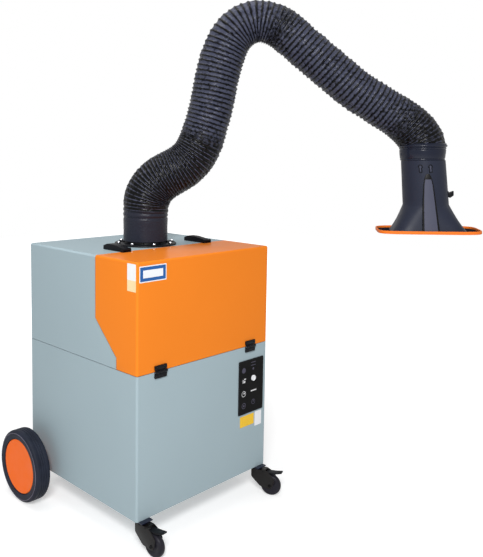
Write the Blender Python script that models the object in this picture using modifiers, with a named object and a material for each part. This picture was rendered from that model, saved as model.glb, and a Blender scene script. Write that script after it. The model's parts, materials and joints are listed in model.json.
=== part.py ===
"""Mobile welding fume extractor: a wheeled filter housing that carries a jointed suction arm.

Metres, +Z up. The cabinet frame has its origin on the floor below the middle of the housing,
with the front towards -Y. The whole machine hangs on one empty, which stands the middle of its
overall box on the world origin.
"""

import math

import bmesh
import bpy
import numpy as np
from mathutils import Matrix, Vector

# Clearances
SEAT = 0.0003
OVERRUN = 0.010
MERGE = 0.0001

# Housing
WIDTH = 0.600
DEPTH = 0.600
CLEARANCE = 0.100
LOWER_HEIGHT = 0.455
UPPER_HEIGHT = 0.345
SHEET = 0.002
FOLD_RADIUS = 0.007
FOLD_STEPS = 2
SEAM_GAP = 0.0016
SEAM = CLEARANCE + LOWER_HEIGHT
TOP = SEAM + UPPER_HEIGHT

# Front cover: its strip of the top, and the outline of its side wings
COVER_DEPTH = 0.2085
WING_WAIST_DEPTH = 0.100
WING_LOW = 0.037
WING_HIGH = 0.144
COVER_GAP = 0.0020
COVER_LIP = 0.015

# Cover hinges
HINGE_INSET = 0.092
HINGE_X = WIDTH / 2 - HINGE_INSET
HINGE_WIDTH = 0.049
HINGE_LEAF = 0.020
HINGE_THICK = 0.005
KNUCKLE_RADIUS = 0.005
HINGE_PIN_RADIUS = 0.0018
HINGE_Y = -DEPTH / 2 - KNUCKLE_RADIUS - SEAT
HINGE_AIR = 0.0008

# Latches
LATCH_INSET = 0.114
LATCH_X = WIDTH / 2 - LATCH_INSET
LATCH_WIDTH = 0.028
LATCH_LENGTH = 0.110
LATCH_HEIGHT = 0.020
LATCH_NOSE = 0.005
LATCH_SETBACK = 0.012
LATCH_PIVOT_UP = 0.0080
LATCH_PIN_RADIUS = 0.0022
EAR_THICK = 0.003
EAR_RADIUS = 0.0055
LATCH_BASE_THICK = 0.0022
LATCH_CHAMFER = 0.007

# Control panel, its box and its button
PANEL_INSET = 0.083
PANEL_X = WIDTH / 2 - PANEL_INSET
PANEL_WIDTH = 0.129
PANEL_HEIGHT = 0.192
PANEL_THICK = 0.003
PANEL_DROP = 0.049
PANEL_CORNER = 0.003
PANEL_WINDOW_MARGIN = 0.012
BOX_MARGIN = 0.008
BOX_DEPTH = 0.060
BUTTON_RADIUS = 0.0125
BUTTON_STEM_RADIUS = 0.006
BUTTON_OUT = 0.0045
BUTTON_TRAVEL = 0.002
BUTTON_STEM = 0.016
BUTTON_SHIFT = 0.0135
BUTTON_X = PANEL_X + BUTTON_SHIFT
BUTTON_DROP = 0.066

# Filter chamber
PARTITION_RIM = 0.020
PARTITION_SHEET = 0.0015
FILTER_SIDE_ROOM = 0.030
FILTER_END_ROOM = 0.060
FILTER_WIDTH = WIDTH - 2 * FILTER_SIDE_ROOM
FILTER_DEPTH = DEPTH - 2 * FILTER_END_ROOM
FILTER_HEIGHT = 0.210
FILTER_WALL = 0.012
FILTER_BACK = 0.020
PLEATS = 22
PLEAT_INSET = 0.006
PLEAT_SHEET = 0.026
MAT_THICK = 0.020
SEAL_RADIUS = 0.004

# Fan
FAN_Y = 0.020
INLET_THROAT = 0.084
INLET_MOUTH = 0.098
INLET_FLANGE = 0.130
INLET_DROP = 0.036
INLET_SHEET = 0.002
IMPELLER_RADIUS = 0.140
IMPELLER_HEIGHT = 0.062
IMPELLER_EYE = 0.0885
IMPELLER_NECK = 0.012
IMPELLER_SHEET = 0.002
IMPELLER_HUB = 0.022
IMPELLER_OVERLAP = 0.010
BLADES = 7
BLADE_ROOT = 0.078
BLADE_THICK = 0.0025
BLADE_SWEEP = math.radians(42)
SHAFT_RADIUS = 0.008
MOTOR_RADIUS = 0.075
MOTOR_BODY_RADIUS = 0.069
MOTOR_HEIGHT = 0.170
MOTOR_END = 0.018
MOTOR_AIR = 0.010
TERMINAL_BOX = 0.060
STAND_WIDTH = 0.220
STAND_DEPTH = 0.180
STAND_SHEET = 0.004
STAND_FOOT = 0.030

# Exhaust grille and power inlet in the back
GRILLE_SIDE_ROOM = 0.140
GRILLE_WIDTH = WIDTH - 2 * GRILLE_SIDE_ROOM
GRILLE_HEIGHT = 0.150
GRILLE_BORDER = 0.022
GRILLE_THICK = 0.003
GRILLE_Z = 0.250
SLATS = 7
SLAT_DEPTH = 0.014
SLAT_THICK = 0.002
SLAT_TILT = math.radians(40)
SLAT_OVERLAP = 0.002
INLET_INSET = 0.090
INLET_X = WIDTH / 2 - INLET_INSET
INLET_Z = 0.170
PLUG_FLANGE = 0.032
PLUG_BODY = 0.026
PLUG_BORE = 0.022
PLUG_OUT = 0.030
PLUG_THICK = 0.003
PLUG_FLOOR = 0.004

# Rear wheels
WHEEL_RADIUS = 0.125
WHEEL_WIDTH = 0.056
WHEEL_STANDOFF = 0.038
WHEEL_OUTER_X = WIDTH / 2 + WHEEL_STANDOFF + WHEEL_WIDTH
WHEEL_INSET = 0.064
WHEEL_Y = DEPTH / 2 - WHEEL_INSET
DISC_RADIUS = 0.0945
DISC_RECESS = 0.003
DISC_THICK = 0.005
HUB_RIM = 0.004
HUB_BOSS = 0.018
AXLE_RADIUS = 0.010
AXLE_TIP = 0.006
TREAD_GROOVE = 0.0022
TREAD_STEP = 0.0085
TYRE_SHOULDER = 0.006
SPACER_RADIUS = 0.017
BRACKET_INSET = 0.045
BRACKET_X = WIDTH / 2 - BRACKET_INSET
BRACKET_WIDTH = 0.050
BRACKET_THICK = 0.005
BRACKET_FOOT = 0.026

# Castors
CASTOR_SIDE_INSET = 0.030
CASTOR_FRONT_INSET = 0.006
CASTOR_X = WIDTH / 2 - CASTOR_SIDE_INSET
CASTOR_Y = -DEPTH / 2 + CASTOR_FRONT_INSET
CASTOR_TURN_LEFT = math.radians(-85)
CASTOR_TURN_RIGHT = math.radians(-68)
CASTOR_TRAIL = 0.052
CASTOR_RADIUS = 0.0375
CASTOR_WIDTH = 0.024
CASTOR_PLATE = 0.044
CASTOR_PLATE_THICK = 0.003
KINGPIN_RADIUS = 0.005
KINGPIN_LENGTH = 0.009
HEAD_RADIUS = 0.019
HEAD_HEIGHT = 0.008
CHEEK_THICK = 0.003
CHEEK_AIR = 0.002
CHEEK_END = 0.012
CHEEK_BACK = 0.018
CHEEK_BACK_Z = 0.062
CHEEK_KNEE_X = 0.016
CHEEK_KNEE_Z = 0.031
CHEEK_FRONT_X = 0.070
CHEEK_FRONT_Z = 0.062
YOKE_FRONT = 0.034
YOKE_THICK = 0.0035
CASTOR_AXLE_RADIUS = 0.004
PEDAL_PIVOT_X = 0.040
PEDAL_PIVOT_Z = 0.0820
PEDAL_PIN_RADIUS = 0.002
PEDAL_THICK = 0.004
PEDAL_REACH = 0.054
PEDAL_RISE = 0.006
PEDAL_TIP = 0.010

# Arm: base, joints and links. Its frame has +X along its reach and +Z up from the housing's top
ARM_TURN = math.radians(-45)
FLANGE_RADIUS = 0.110
FLANGE_GAP = 0.0015
ARM_Y = -DEPTH / 2 + COVER_DEPTH + FLANGE_GAP + FLANGE_RADIUS
FLANGE_THICK = 0.006
NECK_RADIUS = 0.0745
NECK_HEIGHT = 0.013
NECK_BORE = 0.0640
DUCT_RADIUS = 0.0665
GUSSETS = 8
GUSSET_THICK = 0.003
GUSSET_RADIUS = 0.094
BOSS_CIRCLE = 0.0985
BOSS_RADIUS = 0.0075
BOSS_HEIGHT = 0.0022
TURNTABLE_WALL = 0.004
TURNTABLE_HEIGHT = 0.070
TURNTABLE_SPIGOT = 0.016
COLLAR_RADIUS = 0.0665
HOOD_COLLAR_RADIUS = 0.0640
BRIDGE_Z = 0.045
BRIDGE_THICK = 0.008
BRIDGE_WIDTH = 0.034
SHOULDER_X = 0.055
SHOULDER_Z = 0.222
ELBOW_X = 0.360
ELBOW_Z = 0.775
WRIST_X = 0.955
WRIST_Z = 0.400
TONGUE_THICK = 0.008
FORK_THICK = 0.004
FRICTION_FACE = 0.002
LINK_HALF = 0.010
EYE_RADIUS = 0.014
TUBE_RADIUS = 0.009
FORK_LENGTH = 0.060
BOLT_RADIUS = 0.004
BOLT_HEAD_RADIUS = 0.0075
BOLT_HEAD = 0.004

# Hose
HOSE_RIB_RADIUS = 0.0795
HOSE_VALLEY_RADIUS = 0.0765
HOSE_BORE_RADIUS = 0.0735
HOSE_LENGTH_SHARES = (0, 0.42, 0.54, 0.88, 0.95, 1)
HOSE_RADIUS_SHARES = (1, 1, 0.92, 0.925, 0.99, 1)
HOSE_ROUTE = (
    (0, 0.045), (0, 0.085), (0.0005, 0.115), (0.009, 0.165), (0.036, 0.210), (0.077, 0.242),
    (0.121, 0.268), (0.159, 0.302), (0.186, 0.345), (0.203, 0.391), (0.229, 0.488), (0.247, 0.587),
    (0.259, 0.635), (0.274, 0.683), (0.296, 0.729), (0.332, 0.764), (0.376, 0.783), (0.425, 0.779),
    (0.472, 0.759), (0.511, 0.729), (0.550, 0.697), (0.627, 0.634), (0.706, 0.572), (0.746, 0.542),
    (0.790, 0.517), (0.832, 0.490), (0.876, 0.465), (0.918, 0.436), (0.952, 0.404), (0.972, 0.374),
)
HOSE_END_STRAIGHT = 0.010
RIB_PLACES = (0, 0.10, 0.38, 0.46, 0.60, 0.92, 1.00, 1.10, 1.42, 1.55, 1.72)
RIB_PITCHES = (0.0110, 0.0098, 0.0090, 0.0135, 0.0155, 0.0150, 0.0130, 0.0175, 0.0175, 0.0125, 0.0110)
PATH_STEP = 0.006
BORE_STEP_RIBS = 2
SMOOTHING = 60
BASE_SEAM = 0.425
LOWER_SEAM = 0.595
ELBOW_SEAM = 1.060
UPPER_SEAM = 1.300

# Hood. Its frame has its origin at the middle of the collar's top, with the mouth towards -Z
HOOD_X = 0.026
HOOD_DROP = 0.040
HOOD_LEAN = math.radians(-1)
HOOD_TURN = math.radians(-9)
HOOD_WALL = 0.0028
HOOD_COLLAR = 0.052
HOOD_LENGTH = 0.302
HOOD_NECK = 0.0785
HOOD_FLARE_START = 0.208
FLARE_HALF_X = 0.134
FLARE_HALF_Y = 0.088
PLATE_HALF_X = 0.1820
PLATE_HALF_Y = 0.1035
PLATE_SQUARENESS = 3.0
HOOD_DRIFT_NECK = 0.009
HOOD_DRIFT_MOUTH = 0.0235
RIM_WIDTH = 0.005
RIM_HEIGHT = 0.011
RIB_APEX = 0.112
RIB_APEX_HALF = 0.009
RIB_FOOT_HALF = 0.025
CARRIER_RING = 0.012
CARRIER_WALL = 0.004
CARRIER_DROP = 0.018
SPIDER_WIDTH = 0.012
FLAP_DROP = 0.170
FLAP_RADIUS = 0.0725
FLAP_THICK = 0.003
SPINDLE_RADIUS = 0.0040
KNOB_LENGTH = 0.026
KNOB_WIDTH = 0.012
KNOB_THICK = 0.012
KNOB_OUT = 0.003

# Facets
SIDES_LARGE = 28
SIDES_MEDIUM = 22
SIDES_SMALL = 14
SIDES_PIN = 10
SIDES_BOSS = 8
HOOD_SIDES = 24

MATERIAL_VALUES = {
    "housing_grey": ((0.36, 0.46, 0.49), 0.45, 0.0),
    "cover_orange": ((0.89, 0.24, 0.03), 0.40, 0.0),
    "black_plastic": ((0.018, 0.019, 0.022), 0.50, 0.0),
    "hose_fabric": ((0.020, 0.021, 0.028), 0.60, 0.0),
    "hood_plastic": ((0.030, 0.034, 0.045), 0.45, 0.0),
    "rim_orange": ((0.90, 0.22, 0.02), 0.50, 0.0),
    "tyre_rubber": ((0.022, 0.024, 0.032), 0.75, 0.0),
    "disc_orange": ((0.90, 0.16, 0.03), 0.45, 0.0),
    "zinc_steel": ((0.55, 0.56, 0.58), 0.35, 0.9),
    "cast_aluminium": ((0.42, 0.43, 0.45), 0.50, 0.8),
    "filter_paper": ((0.86, 0.85, 0.80), 0.90, 0.0),
    "filter_mat": ((0.72, 0.76, 0.80), 0.95, 0.0),
    "button_white": ((0.90, 0.90, 0.88), 0.35, 0.0),
    "motor_blue": ((0.10, 0.16, 0.24), 0.50, 0.2),
}


# Scene and frames


def clear_scene():
    for obj in list(bpy.data.objects):
        bpy.data.objects.remove(obj)


def new_collection(name):
    collection = bpy.data.collections.new(name)
    bpy.context.scene.collection.children.link(collection)
    return collection


def frame(name, parent=None, at=(0, 0, 0), turn=(0, 0, 0)):
    """An empty that carries pieces: its origin and axes are their frame."""
    empty = bpy.data.objects.new(name, None)
    PARTS.objects.link(empty)
    empty.parent = parent
    empty.location = at
    empty.rotation_euler = turn
    return empty


def material(name):
    found = bpy.data.materials.get(name)
    if found:
        return found
    colour, roughness, metallic = MATERIAL_VALUES[name]
    made = bpy.data.materials.new(name)
    made.use_nodes = True
    surface = made.node_tree.nodes["Principled BSDF"]
    surface.inputs["Base Color"].default_value = (*colour, 1)
    surface.inputs["Roughness"].default_value = roughness
    surface.inputs["Metallic"].default_value = metallic
    made.diffuse_color = (*colour, 1)
    return made


def place(obj, parent, finish):
    """Hangs a finished piece on its frame and gives it its material."""
    obj.parent = parent
    obj.data.materials.clear()
    obj.data.materials.append(material(finish))
    return obj


# Shapes. Each is made in its frame's coordinates, so its own location stays zero


def object_of(name, mesh):
    obj = bpy.data.objects.new(name, mesh)
    PARTS.objects.link(obj)
    return obj


def from_bmesh(name, bm):
    mesh = bpy.data.meshes.new(name)
    bm.to_mesh(mesh)
    bm.free()
    return object_of(name, mesh)


def realised(obj):
    """The evaluated shape of a curve or of an object with modifiers, as a welded mesh object."""
    graph = bpy.context.evaluated_depsgraph_get()
    mesh = bpy.data.meshes.new_from_object(obj.evaluated_get(graph))
    name = obj.name
    bpy.data.objects.remove(obj)
    bm = bmesh.new()
    bm.from_mesh(mesh)
    bmesh.ops.remove_doubles(bm, verts=bm.verts, dist=MERGE)
    bm.to_mesh(mesh)
    bm.free()
    mesh.name = name
    return object_of(name, mesh)


def smooth(obj):
    obj.data.shade_smooth()
    obj.data.set_sharp_from_angle(angle=math.radians(35))
    return obj


def block(name, size, centre, turn=None):
    bm = bmesh.new()
    bmesh.ops.create_cube(bm, size=1)
    move = Matrix.Translation(centre) @ (turn or Matrix()) @ Matrix.Diagonal((*size, 1))
    bmesh.ops.transform(bm, matrix=move, verts=bm.verts)
    return from_bmesh(name, bm)


def facing(axis):
    """The turn that lays local +Z along an axis of the frame."""
    return {
        "X": Matrix.Rotation(math.pi / 2, 4, "Y"),
        "Y": Matrix.Rotation(-math.pi / 2, 4, "X"),
        "Z": Matrix(),
    }[axis]


def rod(name, radius, length, centre, axis="Z", sides=SIDES_PIN):
    bm = bmesh.new()
    bmesh.ops.create_cone(
        bm, cap_ends=True, segments=sides, radius1=radius, radius2=radius, depth=length
    )
    bmesh.ops.transform(bm, matrix=Matrix.Translation(centre) @ facing(axis), verts=bm.verts)
    return smooth(from_bmesh(name, bm))


def rod_between(name, start, end, radius, sides=SIDES_PIN):
    start, end = Vector(start), Vector(end)
    along = end - start
    bm = bmesh.new()
    bmesh.ops.create_cone(
        bm, cap_ends=True, segments=sides, radius1=radius, radius2=radius, depth=along.length
    )
    turn = along.to_track_quat("Z", "Y").to_matrix().to_4x4()
    bmesh.ops.transform(
        bm, matrix=Matrix.Translation((start + end) / 2) @ turn, verts=bm.verts
    )
    return smooth(from_bmesh(name, bm))


def turned(name, profile, sides, axis="Z", centre=(0, 0, 0), closed=True):
    """A solid of revolution. The profile is (radius, height) pairs, running down its outer side."""
    bm = bmesh.new()
    points = [bm.verts.new((radius, 0, height)) for radius, height in profile]
    for start, end in zip(points, points[1:]):
        bm.edges.new((start, end))
    if closed:
        bm.edges.new((points[-1], points[0]))
    obj = from_bmesh(name, bm)
    screw = obj.modifiers.new("turn", "SCREW")
    screw.steps = sides
    screw.render_steps = sides
    screw.use_merge_vertices = True
    screw.merge_threshold = MERGE
    obj = realised(obj)
    obj.data.transform(Matrix.Translation(centre) @ facing(axis))
    return smooth(obj)


def extruded(name, outline, thickness, plane="XY", centre=(0, 0, 0), holes=()):
    """A flat plate with this outline, centred on the plane through centre."""
    curve = bpy.data.curves.new(name, "CURVE")
    curve.dimensions = "2D"
    curve.fill_mode = "BOTH"
    curve.extrude = thickness / 2
    for loop in (outline, *holes):
        spline = curve.splines.new("POLY")
        spline.points.add(len(loop) - 1)
        for point, (x, y) in zip(spline.points, loop):
            point.co = (x, y, 0, 1)
        spline.use_cyclic_u = True
    obj = realised(object_of(name, curve))
    turn = {
        "XY": Matrix(),
        "XZ": Matrix.Rotation(math.pi / 2, 4, "X"),
        "YZ": Matrix.Rotation(math.pi / 2, 4, "Z") @ Matrix.Rotation(math.pi / 2, 4, "X"),
    }[plane]
    obj.data.transform(Matrix.Translation(centre) @ turn)
    return obj


def arc(centre, radius, start, end, steps):
    return [
        (
            centre[0] + radius * math.cos(start + (end - start) * i / steps),
            centre[1] + radius * math.sin(start + (end - start) * i / steps),
        )
        for i in range(steps + 1)
    ]


def circle(centre, radius, sides):
    return arc(centre, radius, 0, 2 * math.pi, sides)[:-1]


def stadium(start, end, radius, steps=6):
    """The outline of a link: two half circles round its eyes, joined by straight sides."""
    heading = math.atan2(end[1] - start[1], end[0] - start[0])
    quarter = math.pi / 2
    return arc(end, radius, heading - quarter, heading + quarter, steps) + arc(
        start, radius, heading + quarter, heading + 3 * quarter, steps
    )


def rounded_rectangle(width, height, radius, steps=4):
    quarter = math.pi / 2
    points = []
    for turn, (sx, sy) in enumerate(((1, 1), (-1, 1), (-1, -1), (1, -1))):
        corner = (sx * (width / 2 - radius), sy * (height / 2 - radius))
        points += arc(corner, radius, turn * quarter, (turn + 1) * quarter, steps)
    return points


def combine(obj, operation, tools):
    for tool in tools:
        modifier = obj.modifiers.new(operation.lower(), "BOOLEAN")
        modifier.operation = operation
        modifier.object = tool
        tool.parent = obj
        tool.hide_render = True
        tool.display_type = "WIRE"
        tool.hide_set(True)
        PARTS.objects.unlink(tool)
        TOOLS.objects.link(tool)
    return obj


def cut(obj, *tools):
    return combine(obj, "DIFFERENCE", tools)


def join(obj, *tools):
    return combine(obj, "UNION", tools)


def bevel(obj, width, segments=2, angle=40):
    modifier = obj.modifiers.new("bevel", "BEVEL")
    modifier.width = width
    modifier.segments = segments
    modifier.limit_method = "ANGLE"
    modifier.angle_limit = math.radians(angle)
    return obj


def folded_box(name, size, low_corner, folds, open_sides, sheet):
    """A box folded from sheet: rounded where folds(middle, edge) says, and open on some sides."""
    bm = bmesh.new()
    bmesh.ops.create_cube(bm, size=1)
    edges = [
        edge for edge in bm.edges if folds((edge.verts[0].co + edge.verts[1].co), edge)
    ]
    middle = Vector(low_corner) + Vector(size) / 2
    move = Matrix.Translation(middle) @ Matrix.Diagonal((*size, 1))
    bmesh.ops.transform(bm, matrix=move, verts=bm.verts)
    bmesh.ops.bevel(
        bm, geom=edges, offset=FOLD_RADIUS, segments=FOLD_STEPS, profile=0.5, affect="EDGES"
    )
    bm.normal_update()
    bmesh.ops.delete(
        bm,
        geom=[
            face
            for face in bm.faces
            if any(face.normal.dot(Vector(side)) > 0.99 for side in open_sides)
        ],
        context="FACES",
    )
    obj = from_bmesh(name, bm)
    shell = obj.modifiers.new("sheet", "SOLIDIFY")
    shell.thickness = sheet
    shell.offset = -1
    shell.use_even_offset = True
    return obj


def is_upright(middle, edge):
    """True on the four upright edges of the unit cube."""
    return abs(middle.z) < 0.5


def loft(name, rings, capped):
    """A surface through rings of points, from the first, which is the top, down to the last."""
    bm = bmesh.new()
    made = [[bm.verts.new(point) for point in ring] for ring in rings]
    for upper, lower in zip(made, made[1:]):
        for i in range(len(upper)):
            j = (i + 1) % len(upper)
            bm.faces.new((upper[i], lower[i], lower[j], upper[j]))
    if capped:
        bm.faces.new(made[0])
        bm.faces.new(made[-1][::-1])
    return smooth(from_bmesh(name, bm))


# Housing


def wing_outline(gap):
    """The cover's side outline in (y, z), grown by a gap at its rear and lower edges."""
    front = -DEPTH / 2
    return [
        (front + WING_WAIST_DEPTH + gap, SEAM),
        (front + WING_WAIST_DEPTH + gap, SEAM + WING_LOW - gap / 2),
        (front + COVER_DEPTH + gap, SEAM + WING_HIGH - gap / 2),
        (front + COVER_DEPTH + gap, TOP),
    ]


def lower_housing(machine):
    size = (WIDTH, DEPTH, LOWER_HEIGHT - SEAM_GAP / 2)
    shell = folded_box(
        "lower_housing", size, (-WIDTH / 2, -DEPTH / 2, CLEARANCE), is_upright, [(0, 0, 1)], SHEET
    )
    axle_hole = rod(
        "cut_axle",
        AXLE_RADIUS + SEAT,
        WIDTH + OVERRUN,
        (0, WHEEL_Y, WHEEL_RADIUS),
        "X",
        SIDES_SMALL,
    )
    window = block(
        "cut_panel_window",
        (
            PANEL_WIDTH - 2 * PANEL_WINDOW_MARGIN,
            SHEET + 2 * OVERRUN,
            PANEL_HEIGHT - 2 * PANEL_WINDOW_MARGIN,
        ),
        (PANEL_X, -DEPTH / 2, panel_middle()),
    )
    outlet = block(
        "cut_outlet",
        (
            GRILLE_WIDTH - GRILLE_BORDER - SLAT_DEPTH,
            SHEET + 2 * OVERRUN,
            GRILLE_HEIGHT - GRILLE_BORDER,
        ),
        (0, DEPTH / 2, GRILLE_Z),
    )
    plug = rod(
        "cut_plug",
        PLUG_BODY + PLUG_THICK / 2,
        SHEET + 2 * OVERRUN,
        (INLET_X, DEPTH / 2, INLET_Z),
        "Y",
        SIDES_SMALL,
    )
    place(cut(shell, axle_hole, window, outlet, plug), machine, "housing_grey")


def upper_housing(machine):
    def folds(middle, edge):
        return is_upright(middle, edge) or middle.z > 0.5 and middle.y > -0.5

    base = SEAM + SEAM_GAP / 2
    shell = folded_box(
        "upper_housing",
        (WIDTH, DEPTH, TOP - base),
        (-WIDTH / 2, -DEPTH / 2, base),
        folds,
        [(0, 0, -1)],
        SHEET,
    )
    front = -DEPTH / 2 - OVERRUN
    outline = (
        [(front, SEAM - OVERRUN)]
        + [(wing_outline(COVER_GAP)[0][0], SEAM - OVERRUN)]
        + wing_outline(COVER_GAP)[1:3]
        + [(wing_outline(COVER_GAP)[3][0], TOP + OVERRUN), (front, TOP + OVERRUN)]
    )
    cover_room = extruded("cut_cover_room", outline, WIDTH + 2 * OVERRUN, "YZ")
    duct = rod(
        "cut_duct", DUCT_RADIUS, SHEET + 2 * OVERRUN, (0, ARM_Y, TOP), "Z", SIDES_MEDIUM
    )
    place(cut(shell, cover_room, duct), machine, "housing_grey")


def cover_seal(machine):
    side = WIDTH / 2 - SHEET - SEAT - SEAL_RADIUS
    top = TOP - SHEET - SEAT - SEAL_RADIUS
    low = SEAM + SEAM_GAP + SEAL_RADIUS
    back = COVER_GAP + SEAL_RADIUS
    waist, knee, shoulder = wing_outline(back)[:3]
    up = [
        (side, waist[0], low),
        (side, knee[0], knee[1]),
        (side, shoulder[0], shoulder[1]),
        (side, shoulder[0], top - FOLD_RADIUS),
        (side - FOLD_RADIUS, shoulder[0], top),
    ]
    curve = bpy.data.curves.new("cover_seal", "CURVE")
    curve.dimensions = "3D"
    curve.bevel_depth = SEAL_RADIUS
    curve.bevel_resolution = 2
    curve.use_fill_caps = True
    path = up + [(-x, y, z) for x, y, z in reversed(up)]
    spline = curve.splines.new("POLY")
    spline.points.add(len(path) - 1)
    for point, place_at in zip(spline.points, path):
        point.co = (*place_at, 1)
    place(smooth(realised(object_of("cover_seal", curve))), machine, "black_plastic")


def front_cover(cover):
    """The orange cover: front, strip of the top and two wings, folded from one sheet."""

    def folds(middle, edge):
        front_upright = is_upright(middle, edge) and middle.y < 0
        return front_upright or middle.z > 0.5 and middle.y < 0.5

    base = SEAM + SEAM_GAP / 2
    shell = folded_box(
        "front_cover",
        (WIDTH, COVER_DEPTH, TOP - base),
        (-WIDTH / 2, -DEPTH / 2 - HINGE_Y, base - SEAM),
        folds,
        [(0, 1, 0)],
        SHEET,
    )
    shift = -DEPTH / 2 - HINGE_Y
    waist, knee, shoulder, _ = [(y - HINGE_Y, z - SEAM) for y, z in wing_outline(0)]
    back = shoulder[0] + OVERRUN
    outline = [
        (waist[0], -OVERRUN),
        knee,
        shoulder,
        (back, shoulder[1]),
        (back, -OVERRUN),
    ]
    trim = extruded("cut_wings", outline, WIDTH + 2 * OVERRUN, "YZ")
    floor = block(
        "cut_cover_floor",
        (WIDTH - 2 * COVER_LIP, COVER_DEPTH, 2 * OVERRUN),
        (0, shift + COVER_LIP + COVER_DEPTH / 2, 0),
    )
    place(cut(shell, trim, floor), cover, "cover_orange")


def hinge(machine, cover, side, x):
    """A black hinge astride the front seam: two leaves and a pin."""
    third = HINGE_WIDTH / 3
    reach = KNUCKLE_RADIUS + HINGE_AIR
    bore_length = HINGE_WIDTH + OVERRUN

    def leaf(name, up, knuckles, at_y, at_z):
        plate_y = at_y + KNUCKLE_RADIUS - HINGE_THICK / 2
        plate = block(
            name,
            (HINGE_WIDTH, HINGE_THICK, HINGE_LEAF - reach),
            (x, plate_y, at_z + up * (reach + (HINGE_LEAF - reach) / 2)),
        )
        parts = []
        for offset in knuckles:
            length = third - HINGE_AIR
            parts.append(
                rod(
                    name + "_knuckle",
                    KNUCKLE_RADIUS,
                    length,
                    (x + offset * third, at_y, at_z),
                    "X",
                    SIDES_SMALL,
                )
            )
            parts.append(
                block(
                    name + "_web",
                    (length, HINGE_THICK - SEAT, reach + HINGE_AIR),
                    (x + offset * third, plate_y + SEAT / 2, at_z + up * (reach + HINGE_AIR) / 2),
                )
            )
        bore = rod(
            name + "_bore",
            HINGE_PIN_RADIUS + SEAT,
            bore_length,
            (x, at_y, at_z),
            "X",
            SIDES_PIN,
        )
        return cut(join(plate, *parts), bore)

    lower = leaf("hinge_leaf_lower_" + side, -1, (-1, 1), HINGE_Y, SEAM)
    place(lower, machine, "black_plastic")
    upper = leaf("hinge_leaf_upper_" + side, 1, (0,), 0, 0)
    place(upper, cover, "black_plastic")
    pin = rod("hinge_pin_" + side, HINGE_PIN_RADIUS, HINGE_WIDTH, (x, 0, 0), "X", SIDES_PIN)
    place(pin, cover, "zinc_steel")


def latch_pivot(x):
    """The lever's pivot in the cabinet frame, just ahead of the strip's rear edge."""
    return (x, -DEPTH / 2 + COVER_DEPTH - LATCH_SETBACK, TOP + SEAT + LATCH_PIVOT_UP)


def latch(cover, lever_frame, side, x):
    """A wedge-shaped lever between the ears of its base; its tail lies over the housing's top.

    The nose is round about the pivot, so that it clears the base plate as the tail lifts.
    """
    _, pivot_y, pivot_z = latch_pivot(x)
    y, z = pivot_y - HINGE_Y, pivot_z - SEAM
    foot = z - LATCH_PIVOT_UP
    half = LATCH_WIDTH / 2 + SEAT + EAR_THICK
    base = block(
        "latch_base_" + side,
        (2 * half, 2 * EAR_RADIUS, LATCH_BASE_THICK),
        (x, y, foot + LATCH_BASE_THICK / 2),
    )
    ears = []
    for hand in (-1, 1):
        outline = arc((y, z), EAR_RADIUS, 0, math.pi, 6) + [
            (y - EAR_RADIUS, foot),
            (y + EAR_RADIUS, foot),
        ]
        ears.append(
            extruded(
                "ear",
                outline,
                EAR_THICK,
                "YZ",
                (x + hand * (LATCH_WIDTH / 2 + SEAT + EAR_THICK / 2), 0, 0),
            )
        )
    bore = rod(
        "ear_bore", LATCH_PIN_RADIUS + SEAT, 2 * half + OVERRUN, (x, y, z), "X", SIDES_PIN
    )
    place(cut(join(base, *ears), bore), cover, "black_plastic")

    tail = LATCH_LENGTH - LATCH_NOSE
    sole = -LATCH_PIVOT_UP + SEAT
    heel = EAR_RADIUS + HINGE_AIR
    peak = sole + LATCH_HEIGHT
    nose = arc((0, 0), LATCH_NOSE, math.radians(110), math.radians(270), 6)
    outline = nose + [
        (heel, -LATCH_NOSE),
        (heel, sole),
        (tail, sole),
        (tail, peak - LATCH_CHAMFER),
        (tail - LATCH_HEIGHT, peak),
        (tail / 2, peak),
    ]
    lever = extruded("latch_lever_" + side, outline, LATCH_WIDTH, "YZ")
    grip = LATCH_HEIGHT
    scoop = block(
        "cut_scoop",
        (LATCH_WIDTH - 2 * EAR_THICK, tail - 2 * EAR_THICK - heel, grip),
        (0, heel + EAR_THICK + (tail - 2 * EAR_THICK - heel) / 2, sole + EAR_THICK - grip / 2),
    )
    pins = rod("pins", LATCH_PIN_RADIUS, 2 * half, (0, 0, 0), "X", SIDES_PIN)
    place(join(cut(lever, scoop), pins), lever_frame, "black_plastic")


# Control panel


def panel_middle():
    return SEAM - PANEL_DROP - PANEL_HEIGHT / 2


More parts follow.
